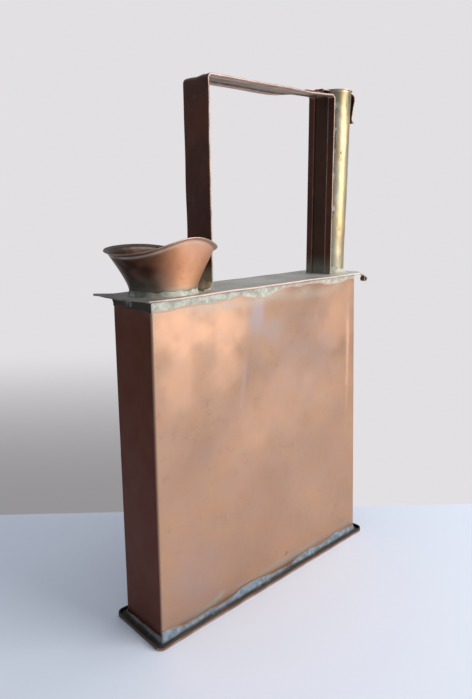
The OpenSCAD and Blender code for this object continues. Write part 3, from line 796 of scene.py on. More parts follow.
@dataclass
class BaseTray:
    """The shallow tray under the body, and the solder that fills it."""

    outline: Outline = field(default_factory=Outline)
    over: float = 8.2 * MM
    floor_t: float = 1.0 * MM
    rim_t: float = 1.8 * MM
    rim_h: float = 5.0 * MM
    corner: float = 7.0 * MM
    fill_h: float = 2.3 * MM
    climb: float = 10.0 * MM

    def ring(self) -> tuple[Outline, np.ndarray, np.ndarray]:
        """The tray's own outline with its wider corners."""
        half = self.outline.half_low + self.over
        rim = Outline(half, half, self.outline.half_w + self.over, self.corner)
        return rim, *rim.ring(4 * MM, 9)

    def tray(self) -> bpy.types.Object:
        """A dished sheet: a profile of floor, wall, rounded fold and outer face, all round."""
        rim, place, way = self.ring()
        t = self.rim_t
        fold = np.linspace(0, math.pi, 9)
        out = [-self.corner * 0.98, -t - 1.2 * MM, -t - 0.3 * MM, -t]
        height = [self.floor_t, self.floor_t, self.floor_t + 0.2 * MM, self.floor_t + 0.8 * MM]
        out += list(-t / 2 - np.cos(fold) * t / 2)
        height += list(self.rim_h - t / 2 + np.sin(fold) * t / 2)
        out += [0.0, 0.0, -0.15 * MM, -0.6 * MM, -self.corner * 0.98]
        height += [1.6 * MM, 0.7 * MM, 0.15 * MM, 0.0, 0.0]
        edge = [0.0, 0.0, 0.0, 0.0] + [0.0, 0.0, 0.0, 0.05, 0.1, 0.08, 0.0, 0.0, 0.0] + [0.7, 1.0, 1.0, 0.6, 0.0]
        out, height = np.array(out)[None, :], np.array(height)[None, :]
        points = rim.at(place[:, None], way[:, None], height, out)
        wave = 0.22 * Waves(45 * MM, 61)(points) + 0.1 * Waves(15 * MM, 62)(points)
        points[..., 2] += wave * MM * smooth(height, 2 * MM, self.rim_h)
        points[..., :2] -= 0.25 * MM * (1 + Waves(60 * MM, 63)(points)[..., None]) * way_out(way)[..., :2] * (
            smooth(height, 2 * MM, self.rim_h)[..., None])
        mottle = 0.5 + 0.5 * np.tanh(Waves(18 * MM, 64)(points))
        # front: the edge is stronger on the front side, a painted highlight along the lit lower lip
        front = 0.35 + 0.65 * (way[:, 1] < -0.3)[:, None]
        paint = {
            "edge": np.array(edge)[None, :] * front * (0.55 + 0.45 * mottle),
            "green": 0.3 * mottle * (1 - np.array(edge)[None, :]),
            # dark: painted shade over the floor, inner wall and fold, where the groove round the solder lies
            "dark": 0.85 * (0.6 + 0.4 * mottle) * (1 - np.array(edge)[None, :]),
        }
        walls = Lattice(points, paint, close_u=True, flip=True)
        made = build_mesh("tray", [walls])
        self.close_floor(made, points.shape[0], points.shape[1])
        return made

    def close_floor(self, piece: bpy.types.Object, around: int, across: int) -> None:
        """Closes the tray's floor above and below with one face each.

        Args:
            piece: The tray.
            around: Points round the tray.
            across: Points of its profile, of which the first and last are open.
        """
        mesh = piece.data
        upper = [i * across for i in range(around)]
        lower = [i * across + across - 1 for i in range(around)][::-1]
        count, loops = len(mesh.polygons), len(mesh.loops)
        mesh.polygons.add(2)
        mesh.loops.add(len(upper) + len(lower))
        for k, (begin, ring) in enumerate(((loops, upper), (loops + len(upper), lower))):
            mesh.polygons[count + k].loop_start = begin
            for step, vertex in enumerate(ring):
                mesh.loops[begin + step].vertex_index = vertex
        mesh.update(calc_edges=True)
        mesh.validate()
        mesh.shade_smooth()

    def solder(self) -> bpy.types.Object:
        """The fillet: level in the tray, then hollow up the wall to a ragged edge.

        The profile runs from the rim over the fill to the wall, up the wall and back
        down inside it. Its top height wanders by two sizes of waves, and it stands
        higher at the front's left corner.
        """
        place, way = self.outline.ring(1.6 * MM, 7)
        foot = self.outline.at(place, way, np.full(len(place), self.fill_h), 0.0)
        reach = self.over - self.rim_t - 0.05 * MM
        ragged = 1 + 0.2 * Waves(70 * MM, 71)(foot) + 0.05 * Waves(21 * MM, 72)(foot)
        ragged += 0.35 * bump_at(foot[:, 0], -0.150, 0.018) * (foot[:, 1] < 0)
        end = np.abs(way[:, 0]) > 0.7
        top = np.where(end, 0.55, 0.92) * self.climb * np.clip(ragged, 0.35, 1.6)
        width = np.where(end, 1.0, 0.66 + 0.08 * Waves(40 * MM, 73)(foot)) * reach
        a = np.linspace(0, 1, 9)[None, :]
        out = np.concatenate([
            np.full((len(place), 1), reach), width[:, None] * (1 - a) ** 1.7 + 0.25 * MM,
            np.full((len(place), 3), -0.12 * MM), np.full((len(place), 1), reach)], 1)
        z = np.concatenate([
            np.full((len(place), 1), self.fill_h * 0.62),
            self.fill_h * (0.75 + 0.25 * a) + (top[:, None] - self.fill_h) * a**1.6,
            top[:, None] + 0.5 * MM * np.array([[0.0, -4.0, -9.0]]), np.full((len(place), 1), self.floor_t - 0.02 * MM)], 1)
        z[:, -2] = self.floor_t - 0.02 * MM
        points = self.outline.at(place[:, None], way[:, None], z, out)
        lump = 0.14 * Waves(11 * MM, 74)(points) + 0.03 * Waves(4 * MM, 75)(points)
        surface = ((np.arange(points.shape[1]) > 0) & (np.arange(points.shape[1]) < 9))[None, :]
        points += np.where(surface, lump, 0)[..., None] * MM * (0.6 * way_out(way) + [0, 0, 0.5])
        # groove, the low band and the ends: painted shade in the groove by the tray's rim and on the shaded ends
        groove = smooth(out, 0.42 * reach, 0.8 * reach)
        paint = {
            "fade": smooth(z - top[:, None], -3.0 * MM, 0.0),
            "dark": np.clip(groove * 0.95 + 0.8 * (1 - smooth(z, 3.0 * MM, 5.0 * MM)) + 0.45 * end[:, None], 0, 1),
            "green": smooth(z, 2 * MM, 7 * MM) * 0.9,
        }
        return build_mesh("base_fillet", [Lattice(points, paint, close_u=True, close_v=True)])

    def build(self, finishes: Finishes) -> None:
        """Builds and dresses the base."""
        install(self.tray(), finishes.dark, stands_for=("base_tray",))
        install(self.solder(), finishes.base_solder, stands_for=("base_solder",))


# ---------------------------------------------------------------- top plate


@dataclass
class TopPlate:
    """The hemmed top sheet, its wired curl at the right end, and its solder fillet."""

    outline: Outline = field(default_factory=Outline)
    level: float = 337.5 * MM
    front: float = -35.0 * MM
    back: float = 38.5 * MM
    left_front: float = -148.2 * MM
    left_back: float = -160.7 * MM
    right: float = 160.7 * MM
    corner_w: float = 6.0 * MM
    curl_x: float = 148.7 * MM
    curl_r: float = 23.3 * MM
    curl_angle: float = math.radians(41)
    roll_r: float = 3.1 * MM
    layer: float = 0.96 * MM
    hem_w: float = 3.2 * MM
    solder_h: float = 8.0 * MM
    solder_w: float = 2.4 * MM
    holes: tuple[tuple[float, float], ...] = ((-108.0 * MM, 24.0 * MM), (133.5 * MM, 7.0 * MM))

    def along(self, s: np.ndarray, curls: np.ndarray) -> tuple[np.ndarray, np.ndarray]:
        """The upper face at path length s: level, or round the curl's arc where it curls.

        Returns:
            Points (x, z) and the way up from the sheet at each.
        """
        turn = np.where(curls, np.clip((s - self.curl_x) / self.curl_r, 0, self.curl_angle), 0.0)
        x = np.where(curls, np.minimum(s, self.curl_x), s) + self.curl_r * np.sin(turn)
        z = self.level - self.curl_r * (1 - np.cos(turn))
        return np.stack([x, z], -1), np.stack([np.sin(turn), np.cos(turn)], -1)

    def cut_round(self, points: np.ndarray, x: float, radius: float) -> np.ndarray:
        """Moves the points near a circle on to it.

        Args:
            points: The sheet's grid, changed in place.
            x: The circle's centre on the can's middle line.
            radius: Its radius.

        Returns:
            Which faces lie inside the circle.
        """
        centre = np.array([x, 0.0])
        offset = points[..., :2] - centre
        r = np.hypot(offset[..., 0], offset[..., 1])
        near = np.abs(r - radius) < 1.25 * MM
        moved = centre + offset * (radius / np.maximum(r, 1e-9))[..., None]
        points[..., :2] = np.where(near[..., None], moved, points[..., :2])
        r = np.where(near, radius, r)
        middle = (r[:-1, :-1] + r[1:, :-1] + r[1:, 1:] + r[:-1, 1:]) / 4
        return middle < radius + 1e-7

    def sheet(self) -> Lattice:
        """The folded sheet: a hem, a fold, the broad top, a fold and a hem, carried along.

        Only the strip at the front curls down at the right end; a slit parts it from the
        rest, which stays level.
        """
        t, gap = self.layer, self.layer * 1.02
        fold = np.linspace(-math.pi / 2, math.pi / 2, 7)
        width = self.back - self.front
        inset = t / 2 + gap / 2
        slit = 0.15 * MM
        broad = np.concatenate([np.linspace(inset, self.corner_w - slit, 4), np.linspace(self.corner_w + slit, width - inset, 29)])
        hem = np.linspace(self.hem_w, inset, 4)
        y = np.concatenate([hem, inset - np.cos(fold) * gap / 2, broad[1:-1], width - inset + np.cos(fold) * gap / 2, width - hem[::-1]])
        deep = np.concatenate([hem * 0 + gap, gap / 2 - np.sin(fold) * gap / 2, broad[1:-1] * 0, gap / 2 + np.sin(fold) * gap / 2, hem * 0 + gap]) + t / 2
        y = self.front + y
        curls = (y < self.front + self.corner_w)[None, :]
        share, more = np.linspace(0, 1, 131)[:, None], np.linspace(0, 1, 16)[1:, None]
        end = np.where(curls, self.curl_x + self.curl_r * self.curl_angle, self.right - 0.4 * MM)
        left = self.left_front + (self.left_back - self.left_front) * (y - self.front)[None, :] / width
        s = np.concatenate([left * (1 - share) + self.curl_x * share, self.curl_x * (1 - more) + end * more])
        spot, up = self.along(s, curls)
        xz = spot - up * deep[None, :, None]
        points = np.stack([xz[..., 0], np.broadcast_to(y[None, :], s.shape), xz[..., 1]], -1)
        skip = np.zeros((s.shape[0] - 1, s.shape[1] - 1), bool)
        skip[130:, int(np.flatnonzero(curls[0])[-1])] = True
        for x, radius in self.holes:
            skip |= self.cut_round(points, x, radius)
        lift = 2.2 * MM * smooth(-points[..., 0], 0.135, 0.165) * smooth(points[..., 1], 0, 0.04)
        sag = 0.2 * Waves(70 * MM, 81)(points) * smooth(np.abs(points[..., 1]), 0.030, 0.034)
        points[..., 2] += lift + sag * MM
        mottle = 0.5 + 0.5 * np.tanh(Waves(16 * MM, 82)(points))
        rim = np.concatenate([hem * 0 + 0.4, 0.62 + 0.38 * np.cos(fold), broad[1:-1] * 0, 0.3 + 0.3 * np.cos(fold), hem * 0 + 0.2])[None, :]
        from_cup = np.hypot(points[..., 0] + 0.108, points[..., 1])
        from_tube = np.hypot(points[..., 0] - 0.138, 0.7 * points[..., 1])
        paint = {
            # edge: worn folds and hems; the brighter front fold is a painted highlight
            "edge": 0.85 * rim * (0.6 + 0.4 * mottle) * (1 - 0.75 * smooth(-points[..., 0], 0.125, 0.145)),
            "haze": 0.45 * bump_at(from_cup, 34 * MM, 9 * MM) * mottle + 0.75 * bump_at(from_tube, 20 * MM, 8 * MM),
            "green": 0.2 * mottle + 0.25 * bump_at(from_cup, 34 * MM, 9 * MM),
            # dark: darker towards the left end, and painted shade on the down-turned curl
            "dark": (0.8 * smooth(-points[..., 0], 0.03, 0.14) + 0.45 * curls * smooth(points[..., 0], 0.150, 0.160)) * (0.65 + 0.35 * mottle),
            # glow: painted highlight near the right end
            "glow": 0.15 * smooth(points[..., 0], 0.142, 0.156),
        }
        return Lattice(points, paint, flip=True, skip=skip)

    def end_hems(self) -> list[Lattice]:
        """The folded ends: a flat oval profile along the skewed left and the right edge."""
        a = np.linspace(0, 2 * math.pi, 20, endpoint=False)[None, :]
        v = np.linspace(0.01, 0.99, 40)[:, None]
        ring = np.sign(np.cos(a)) * np.abs(np.cos(a)) ** 0.6, np.sign(np.sin(a)) * np.abs(np.sin(a)) ** 0.6
        made = []
        for x0, x1, y0, way, worn in (
                (self.left_front, self.left_back, self.front, 1, 0.2),
                (self.right, self.right, self.front + self.corner_w, -1, 0.5)):
            y = y0 + (self.back - y0) * v
            x = x0 + (x1 - x0) * v + way * 1.6 * MM
            px, pz = x + ring[0] * 1.5 * MM, self.level - 1.02 * MM + ring[1] * 0.95 * MM
            points = np.stack(np.broadcast_arrays(px, y, pz), -1)
            points[..., 2] += 2.2 * MM * smooth(-points[..., 0], 0.135, 0.165) * smooth(points[..., 1], 0, 0.04)
            points[..., 2] -= 0.12 * MM * np.abs(Waves(16 * MM, 83)(points))
            mottle = 0.5 + 0.5 * np.tanh(Waves(10 * MM, 84)(points))
            # the left hem, which faces away from the light, is darkened as painted shade
            paint = {"dark": (0.9 if way > 0 else 0.3) * np.ones_like(mottle), "edge": worn * mottle}
            made.append(Lattice(points, paint, close_v=True))
        return made

    def roll(self) -> Lattice:
        """The rolled corner: a spiral of nearly one turn round the wire, carried along Y."""
        centre = np.array([
            self.curl_x + (self.curl_r - self.roll_r) * math.sin(self.curl_angle),
            self.level - self.curl_r + (self.curl_r - self.roll_r) * math.cos(self.curl_angle)])
        turn = np.linspace(self.curl_angle, self.curl_angle + math.radians(318), 40)[:, None]
        r = self.roll_r - self.layer / 2 - 0.02 * MM * (turn - self.curl_angle)
        y = np.linspace(self.front + 0.1 * MM, self.front + self.corner_w - 0.15 * MM, 12)[None, :]
        x, z = centre[0] + r * np.sin(turn), centre[1] + r * np.cos(turn)
        points = np.stack(np.broadcast_arrays(x, y, z), -1)
        end = smooth(-y, 34 * MM, 34.9 * MM) * np.ones_like(x)
        return Lattice(points, {"dark": 0.9 - 0.3 * end, "edge": 0.1 * end})

    def solder(self) -> bpy.types.Object:
        """The fillet under the plate: hollow, softly waved, reaching down in slow drips."""
        place, way = self.outline.ring(1.5 * MM, 7)
        high = self.level - 2.0 * MM
        wall = self.outline.at(place, way, np.full(len(place), high), 0.0)
        drip = 0.26 * Waves(58 * MM, 91)(wall) + 0.06 * Waves(19 * MM, 92)(wall)
        left = smooth(-wall[:, 0], -0.02, 0.09)
        drop = self.solder_h * np.clip((0.72 + 0.30 * left) + drip * (1 - 0.5 * left), 0.3, 1.4)
        width = self.solder_w * np.clip(0.9 + 0.12 * Waves(22 * MM, 93)(wall), 0.5, 1.2)
        a = np.linspace(0, 1, 8)[None, :]
        out = np.concatenate([
            np.full((len(place), 1), -0.1 * MM), width[:, None] * (1 - a) ** 1.5 + 0.18 * MM, np.full((len(place), 1), -0.1 * MM)], 1)
        z = np.concatenate([
            np.full((len(place), 1), high + 0.05 * MM), high + 0.05 * MM - drop[:, None] * a**1.25, (high - drop - 0.6 * MM)[:, None]], 1)
        points = self.outline.at(place[:, None], way[:, None], z, out)
        lump = 0.10 * Waves(10 * MM, 94)(points) + 0.03 * Waves(4 * MM, 95)(points)
        surface = ((np.arange(points.shape[1]) > 1) & (np.arange(points.shape[1]) < 8))[None, :]
        points += np.where(surface, lump, 0)[..., None] * MM * way_out(way)
        end = np.abs(way[:, 0]) > 0.7
        low = smooth(high - drop[:, None] - z, -3.2 * MM, 0.0)
        paint = {
            "fade": np.clip(low + 0.1 * (1 - left[:, None]), 0, 1),
            "green": 0.3 + 0.5 * left[:, None] + 0 * z,
            # dark: painted shade on the ends and just under the plate
            "dark": 1.0 * end[:, None] + 0.5 * smooth(z, high - 0.9 * MM, high) * (1 - end[:, None]),
        }
        return build_mesh("top_fillet", [Lattice(points, paint, close_u=True, close_v=True, flip=True)])

    def build(self, finishes: Finishes, nodes: dict[str, bpy.types.Object]) -> None:
        """Builds and dresses the plate and its fillet."""
        plate = build_mesh("plate", [self.sheet(), self.roll()], capped=False)
        thicken(plate, self.layer, 0.0)
        install(plate, finishes.plate, stands_for=("top_plate",))
        hems = build_mesh("plate_end_hems", self.end_hems())
        install(hems, finishes.plate)
        install(self.solder(), finishes.solder, stands_for=("top_solder",))
        refinish(nodes, "edge_wire", finishes.dark)


# ---------------------------------------------------------------- cup


@dataclass
class FillerCup:
    """The wide filler cup with its waved rim, and the solder round its foot."""

    x: float = -108.0 * MM
    level: float = 337.5 * MM
    foot_r: float = 29.0 * MM
    foot_h: float = 6.0 * MM
    foot_flare: float = 3.3 * MM
    rim_r: float = 51.5 * MM
    rim_h: float = 41.6 * MM
    shift: float = 1.5 * MM
    lip: float = 3.5 * MM
    lip_drop: float = 1.6 * MM
    flare: float = 1.2
    squeeze: float = 0.1
    lift: float = 2.6 * MM
    pitch: float = 2.2 * MM
    saddle: float = 6.0 * MM
    ripple: float = 1.7 * MM
    leg_x: float = -64.3 * MM
    leg_gap: float = 1.4 * MM
    wall: float = 0.95 * MM

    def rim(self, a: np.ndarray) -> tuple[np.ndarray, np.ndarray]:
        """Radius and height of the rim at angle a.

        The radius is a squeezed circle, flattened by a bell where it passes the
        handle's leg; the height is the mean plus four waves of one to three turns.
        """
        turned = (a + math.pi) % (2 * math.pi) - math.pi
        dent = self.rim_r * (1 + self.squeeze) - (self.leg_x - self.leg_gap - self.x - self.shift)
        radius = self.rim_r * (1 + self.squeeze * np.cos(2 * a)) - dent * np.exp(-((turned / math.radians(33)) ** 4))
        height = (self.rim_h - self.lift * np.cos(a) - self.pitch * np.sin(a)
                  - self.saddle * np.cos(2 * a - math.radians(8)) + self.ripple * np.sin(3 * a - math.radians(33)))
        return radius, height

    def cup(self) -> bpy.types.Object:
        """The cup as a closed double wall.

        The outer profile is a short steep foot, a flare that grows hollow, a groove and a
        lip. The inner one stands one wall behind it along the profile's own normal, and a
        half-round turns over the lip.
        """
        a = np.linspace(0, 2 * math.pi, 180, endpoint=False)[:, None]
        rim_r, rim_h = self.rim(a)
        low_r = self.foot_r + self.foot_flare
        u = np.linspace(0, 1, 26)[None, :]
        wall_r = low_r + (rim_r - self.lip - low_r) * u**self.flare
        wall_h = self.foot_h + (rim_h - self.lip_drop - self.foot_h) * u
        foot = np.linspace(0, 1, 5)[None, :-1]
        lip = np.array([[0.12, 0.3, 0.5, 0.7, 0.84]])
        r = np.concatenate([self.foot_r + self.foot_flare * foot + 0 * a, wall_r, rim_r - self.lip * (1 - lip)], 1)
        h = np.concatenate([self.foot_h * foot + 0 * a, wall_h, rim_h - self.lip_drop * (1 - lip) ** 1.4], 1)
        share = np.concatenate([foot * 0, u, lip * 0 + 1], 1)
        groove = np.concatenate([foot * 0, bump_at(u, 1.0, 0.035), bump_at(lip, 0.0, 0.25)], 1)
        r = r - 0.5 * MM * groove
        dr, dh = np.gradient(r, axis=1), np.gradient(h, axis=1)
        length = np.hypot(dr, dh)
        in_r, in_h = r - self.wall * dh / length, h + self.wall * dr / length
        in_h[:, 0] = 0.0
        turn = np.linspace(0, math.pi, 6)[None, 1:-1]
        mid_r, mid_h = (r[:, -1:] + in_r[:, -1:]) / 2, (h[:, -1:] + in_h[:, -1:]) / 2
        along = np.stack([dr[:, -1], dh[:, -1]], -1) / length[:, -1:] * self.wall / 2
        across = np.stack([r[:, -1] - mid_r[:, 0], h[:, -1] - mid_h[:, 0]], -1)
        lip_r = mid_r + across[:, :1] * np.cos(turn) + along[:, :1] * np.sin(turn)
        lip_h = mid_h + across[:, 1:] * np.cos(turn) + along[:, 1:] * np.sin(turn)
        r = np.concatenate([r, lip_r, in_r[:, ::-1]], 1)
        h = np.concatenate([h, lip_h, in_h[:, ::-1]], 1)
        share = np.concatenate([share, turn * 0 + 1, share[:, ::-1]], 1)
        inside = np.concatenate([0 * u[:, :1].repeat(35, 1), turn / math.pi, 1 + 0 * u[:, :1].repeat(35, 1)], 1)
        x = self.x + r * np.cos(a) + self.shift * share
        points = np.stack(np.broadcast_arrays(x, r * np.sin(a), self.level + h), -1)
        out = np.concatenate([np.cos(a), np.sin(a), 0 * a], 1)[:, None, :]
        wave = np.abs(Waves(26 * MM, 101)(points * [1, 1, 0.2]))
        points = points - (0.2 * wave * share)[..., None] * MM * out
        mottle = 0.5 + 0.5 * np.tanh(Waves(14 * MM, 102)(points))
        low = 1 - smooth(h, 3 * MM, 11 * MM)
        rise = h / np.maximum(rim_h, 1e-6)
        # ring: worn lip, brighter on the front-right as a painted highlight
        ring = bump_at(rise, 0.93, 0.025) * 0.7 + smooth(rise, 0.955, 0.99) * (0.35 + 0.5 * smooth(np.cos(a + 1.2), -0.2, 0.9))
        # shade: painted shade on the cup's left and back
        shade = smooth(-np.cos(a + 0.45), -0.38, 0.55)
        paint = {
            "edge": np.clip(ring * (0.6 + 0.4 * mottle), 0, 1) * (1 - 0.75 * smooth(inside, 0.6, 1.0)),
            "haze": (0.85 * low * (1 - 0.75 * shade) + 0.2 * shade * (1 - smooth(rise, 0.2, 0.6))) * (1 - inside),
            "dark": np.clip(1.0 * shade * (0.92 + 0.08 * mottle), 0, 1) * (1 - 0.6 * inside),
            # lilac: painted shade inside the cup, in the cup's dark lilac colour
            "lilac": 0.97 * smooth(inside, 0.4, 0.9) + 0 * h,
            # glow: painted highlight high on the right side
            "glow": 0.6 * smooth(np.cos(a + 1.0), 0.55, 1.0) * smooth(rise, 0.45, 0.9) * (1 - inside),
        }
        return build_mesh("cup", [Lattice(points, {k: np.clip(v, 0, 1) for k, v in paint.items()}, close_u=True, close_v=True)])

    def solder(self) -> bpy.types.Object:
        """A soft ring round the foot whose width and height wander."""
        a = np.linspace(0, 2 * math.pi, 220, endpoint=False)[:, None]
        spot = np.concatenate([self.x + 0.03 * np.cos(a), 0.03 * np.sin(a), 0 * a], 1)
        wide = 4.2 * MM * np.clip(1 + 0.14 * Waves(22 * MM, 111)(spot), 0.5, 1.3)[:, None]
        high = 5.2 * MM * np.clip(1 + 0.14 * Waves(18 * MM, 112)(spot), 0.6, 1.4)[:, None]
        b = np.linspace(0, 1, 9)[None, :]
        r = np.concatenate([self.foot_r + wide * (1 - b) ** 1.35 + (self.foot_flare / self.foot_h * high + 0.3 * MM) * b,
                            self.foot_r + self.foot_flare / self.foot_h * high - 0.5 * MM, self.foot_r - 0.5 * MM + 0 * a], 1)
        z = np.concatenate([high * b**1.2, high * 0.92, 0 * a], 1) + self.level - 0.05 * MM
        points = np.stack([self.x + r * np.cos(a), r * np.sin(a), z], -1)
        lump = 0.14 * Waves(9 * MM, 113)(points) + 0.04 * Waves(4 * MM, 114)(points)
        surface = ((np.arange(points.shape[1]) > 0) & (np.arange(points.shape[1]) < 8))[None, :]
        points[..., 2] += np.where(surface, np.abs(lump), 0) * MM
        # painted shade on the left and back of the ring
        painted_shade = smooth(-np.cos(a + 0.5), -0.2, 0.8) * np.ones_like(z)
        paint = {"green": 0.75 + 0 * z, "dark": 0.7 * painted_shade}
        return build_mesh("cup_solder", [Lattice(points, paint, close_u=True, close_v=True)])

    def build(self, finishes: Finishes) -> None:
        """Builds and dresses the cup."""
        install(self.cup(), finishes.cup, stands_for=("filler_cup",))
        install(self.solder(), finishes.solder, stands_for=("filler_solder",))


# ---------------------------------------------------------------- handle


@dataclass
class StrapHandle:
    """The strap handle, folded in along both sides, and the solder at its left foot."""

    level: float = 337.5 * MM
    left_top: float = 533.5 * MM
    top: float = 535.6 * MM
    left_x: float = -64.3 * MM
    right_x: float = 116.8 * MM
    left_lean: float = 3.0 * MM
    right_lean: float = 4.6 * MM
    width: float = 37.0 * MM
    layer: float = 1.0 * MM
    hem_w: float = 9.0 * MM
    bend_r: float = 5.0 * MM
    foot: float = 10.0 * MM
    curl_up: float = 3.0 * MM
    near_x: tuple[float, ...] = (-9 * MM, 42.3 * MM, 62.4 * MM, 80.8 * MM, 99.4 * MM, 118.1 * MM)
    near_z: tuple[float, ...] = (-0.6 * MM, 0.0, -0.7 * MM, -1.3 * MM, -0.6 * MM, 0.3 * MM)

    def spine(self) -> tuple[np.ndarray, np.ndarray]:
        """The outer face seen from the front: two leaning legs, two bends and the bar.

        The bar is the common tangent of both bends, so it climbs to the right end.

        Returns:
            Points (x, z) and the way inwards at each, both of shape (n, 2).
        """
        rise_l, rise_r, r = self.left_top - self.level, self.top - self.level, self.bend_r
        left, right = math.atan(self.left_lean / rise_l), math.atan(self.right_lean / rise_r)
        low_l = np.array([self.left_x + self.left_lean * (1 - r / rise_l) + r / math.cos(left), self.left_top - r])
        low_r = np.array([self.right_x + self.right_lean * (1 - r / rise_r) - r / math.cos(right), self.top - r])
        climb = math.atan2(low_r[1] - low_l[1], low_r[0] - low_l[0])

        def arc(c: np.ndarray, a: np.ndarray) -> tuple[np.ndarray, np.ndarray]:
            """Points and inward ways on a bend about c."""
            way = np.stack([np.cos(a), np.sin(a)], -1)
            return c + r * way, -way

        bend_l, in_l = arc(low_l, np.linspace(math.pi - left, math.pi / 2 + climb, 8))
        bend_r, in_r = arc(low_r, np.linspace(math.pi / 2 + climb, -right, 8))
        t = np.linspace(0, 1, 60)[:, None]
        foot_l, foot_r = np.array([self.left_x, self.level]), np.array([self.right_x, self.level])
        leg_l = foot_l + (bend_l[0] - foot_l) * t[:-1]
        leg_r = bend_r[-1] + (foot_r - bend_r[-1]) * t[1:]
        bar = bend_l[-1] + (bend_r[0] - bend_l[-1]) * t[1:-1]
        points = np.concatenate([leg_l, bend_l, bar, bend_r, leg_r])
        ways = np.concatenate([
            np.repeat(in_l[:1], 59, 0), in_l, np.repeat(in_l[-1:], 58, 0), in_r, np.repeat(in_r[-1:], 59, 0)])
        return points, ways

    def fold(self) -> tuple[np.ndarray, np.ndarray, np.ndarray]:
        """The strap's section: hem, half-round fold, broad face, fold, hem.

        Returns:
            Place across, depth behind the outer face, and how worn each point is.
        """
        t = self.layer
        gap, inset = 1.08 * t, t / 2 + 0.54 * t
        half = self.width / 2
        a = np.linspace(-math.pi / 2, math.pi / 2, 7)
        hem = np.linspace(half - self.hem_w, half - inset, 6)
        broad = np.linspace(-(half - inset), half - inset, 18)[1:-1]
        y = np.concatenate([-hem, -(half - inset) - np.cos(a) * gap / 2, broad, half - inset + np.cos(a) * gap / 2, hem[::-1]])
        deep = np.concatenate([hem * 0 + gap, gap / 2 - np.sin(a) * gap / 2, broad * 0, gap / 2 + np.sin(a) * gap / 2, hem * 0 + gap]) + t / 2
        lip = smooth(-hem, -(half - self.hem_w) - 1.2 * MM, -(half - self.hem_w))
        worn = np.concatenate([lip * 0.7, np.cos(a) ** 2, broad * 0, 0.7 * np.cos(a) ** 2, lip[::-1] * 0.7])
        return y, deep, worn

    def warp(self, points: np.ndarray) -> np.ndarray:
        """Sags the bar to the left bend's height up to the hinge's leaf.

        Beside the leaf the near edge dips and comes up again, and the far edge bends up
        towards the right end. Slow waves move the legs.
        """
        x, y, z = points[..., 0], points[..., 1], points[..., 2]
        on_bar = smooth(z, self.left_top - 9 * MM, self.left_top - 3.5 * MM)
        line = 2.1 * MM * np.clip((x + 0.0565) / 0.173, 0, 1)
        near, far = smooth(-y, 8.0 * MM, 12 * MM), smooth(y, 8.3 * MM, 18.5 * MM)
        beside = -line + np.interp(x, self.near_x, self.near_z)
        middle = -line * (1 - smooth(x, 0.064, 0.083))
        up = self.curl_up * smooth(x, 0.045, 0.106) * far * smooth(z, self.top - 45 * MM, self.top - 6 * MM)
        dip = -0.8 * MM * bump_at(y, 1 * MM, 7 * MM) * bump_at(x, -0.061, 0.010)
        sag = -0.5 * MM * bump_at(x, 0.03, 0.035)
        free = 1 - smooth(x, 0.060, 0.080)
        wave = 0.35 * Waves(75 * MM, 121)(points)
        near_top = smooth(z, self.level + 8 * MM, self.level + 60 * MM)
        moved = points.copy()
        moved[..., 2] += up + on_bar * (near * beside + (1 - near) * middle + (dip + sag + 0.3 * wave * MM) * free)
        moved[..., 0] += 0.7 * wave * MM * (x < 0) * (1 - on_bar) * near_top
        return moved

    def strap(self) -> bpy.types.Object:
        """The folded section carried along the spine: spine + inward way * depth."""
        spine, inward = self.spine()
        y, deep, worn = self.fold()
        xz = spine[:, None] + inward[:, None] * deep[None, :, None]
        flat = np.stack([xz[..., 0], np.broadcast_to(y, xz.shape[:2]), xz[..., 1]], -1)
        points = self.warp(flat)
        mottle = 0.5 + 0.5 * np.tanh(Waves(20 * MM, 122)(points))
        under = smooth(-inward[:, 1:], 0.4, 0.95)
        inner = (deep > 1.5 * MM)[None, :]
        from_foot = flat[..., 2] - self.level
        is_left = flat[..., 0] < 0
        # hem_side: front edges brighter than back ones, a painted highlight on the lit front
        hem_side = np.where(y < 0, 1.0, 0.55)[None, :]
        left_green = 0.95 * (1 - smooth(from_foot, 12 * MM, 30 * MM)) * is_left
        right_green = 0.35 * (1 - smooth(from_foot, 0, 25 * MM)) * ~is_left
        top_right = 0.42 * bump_at(flat[..., 2], self.top - 14 * MM, 14 * MM) * ~is_left * ~inner
        streak = np.tanh(Waves(6 * MM, 123)(points * [0.06, 1.0, 0.3]))
        paint = {
            "edge": worn[None, :] * hem_side * (0.55 + 0.45 * mottle),
            "haze": np.clip(left_green + right_green, 0, 1),
            "green": np.clip(0.4 * top_right, 0, 1),
            # dark: painted shade on the right leg and the bar's right half
            "dark": 0.45 * (~is_left) * (1 - inner) * (1 - under),
            # glow: a lighter, streaked tone along the bar, more to the right and on the inner hems
            "glow": np.clip(under * (0.45 + 0.25 * mottle + 0.2 * streak + 0.3 * smooth(flat[..., 0], 0.02, 0.08)), 0, 1) * (0.55 + 0.45 * inner),
        }
        made = build_mesh("strap", [Lattice(points, paint, flip=True), *self.feet()], capped=False)
        thicken(made, self.layer, 0.0)
        return made

    def feet(self) -> list[Lattice]:
        """The left foot and the two tabs that the right foot leaves beside the tube."""
        made = []
        spans = [(self.left_x - self.foot, self.left_x + 0.4 * MM, -self.width / 2 + 0.1 * MM, self.width / 2 - 0.1 * MM)]
        spans += [(self.right_x - 0.4 * MM, self.right_x + 8 * MM, s * 15.6 * MM, s * 18.4 * MM) for s in (-1, 1)]
        for x0, x1, y0, y1 in spans:
            x = np.linspace(x0, x1, 8)[:, None]
            y = np.linspace(min(y0, y1), max(y0, y1), 12)[None, :]
            points = np.stack(np.broadcast_arrays(x, y, self.level + self.layer * 0.56), -1)
            made.append(Lattice(points, {"haze": np.full(points.shape[:2], 0.75)}))
        return made

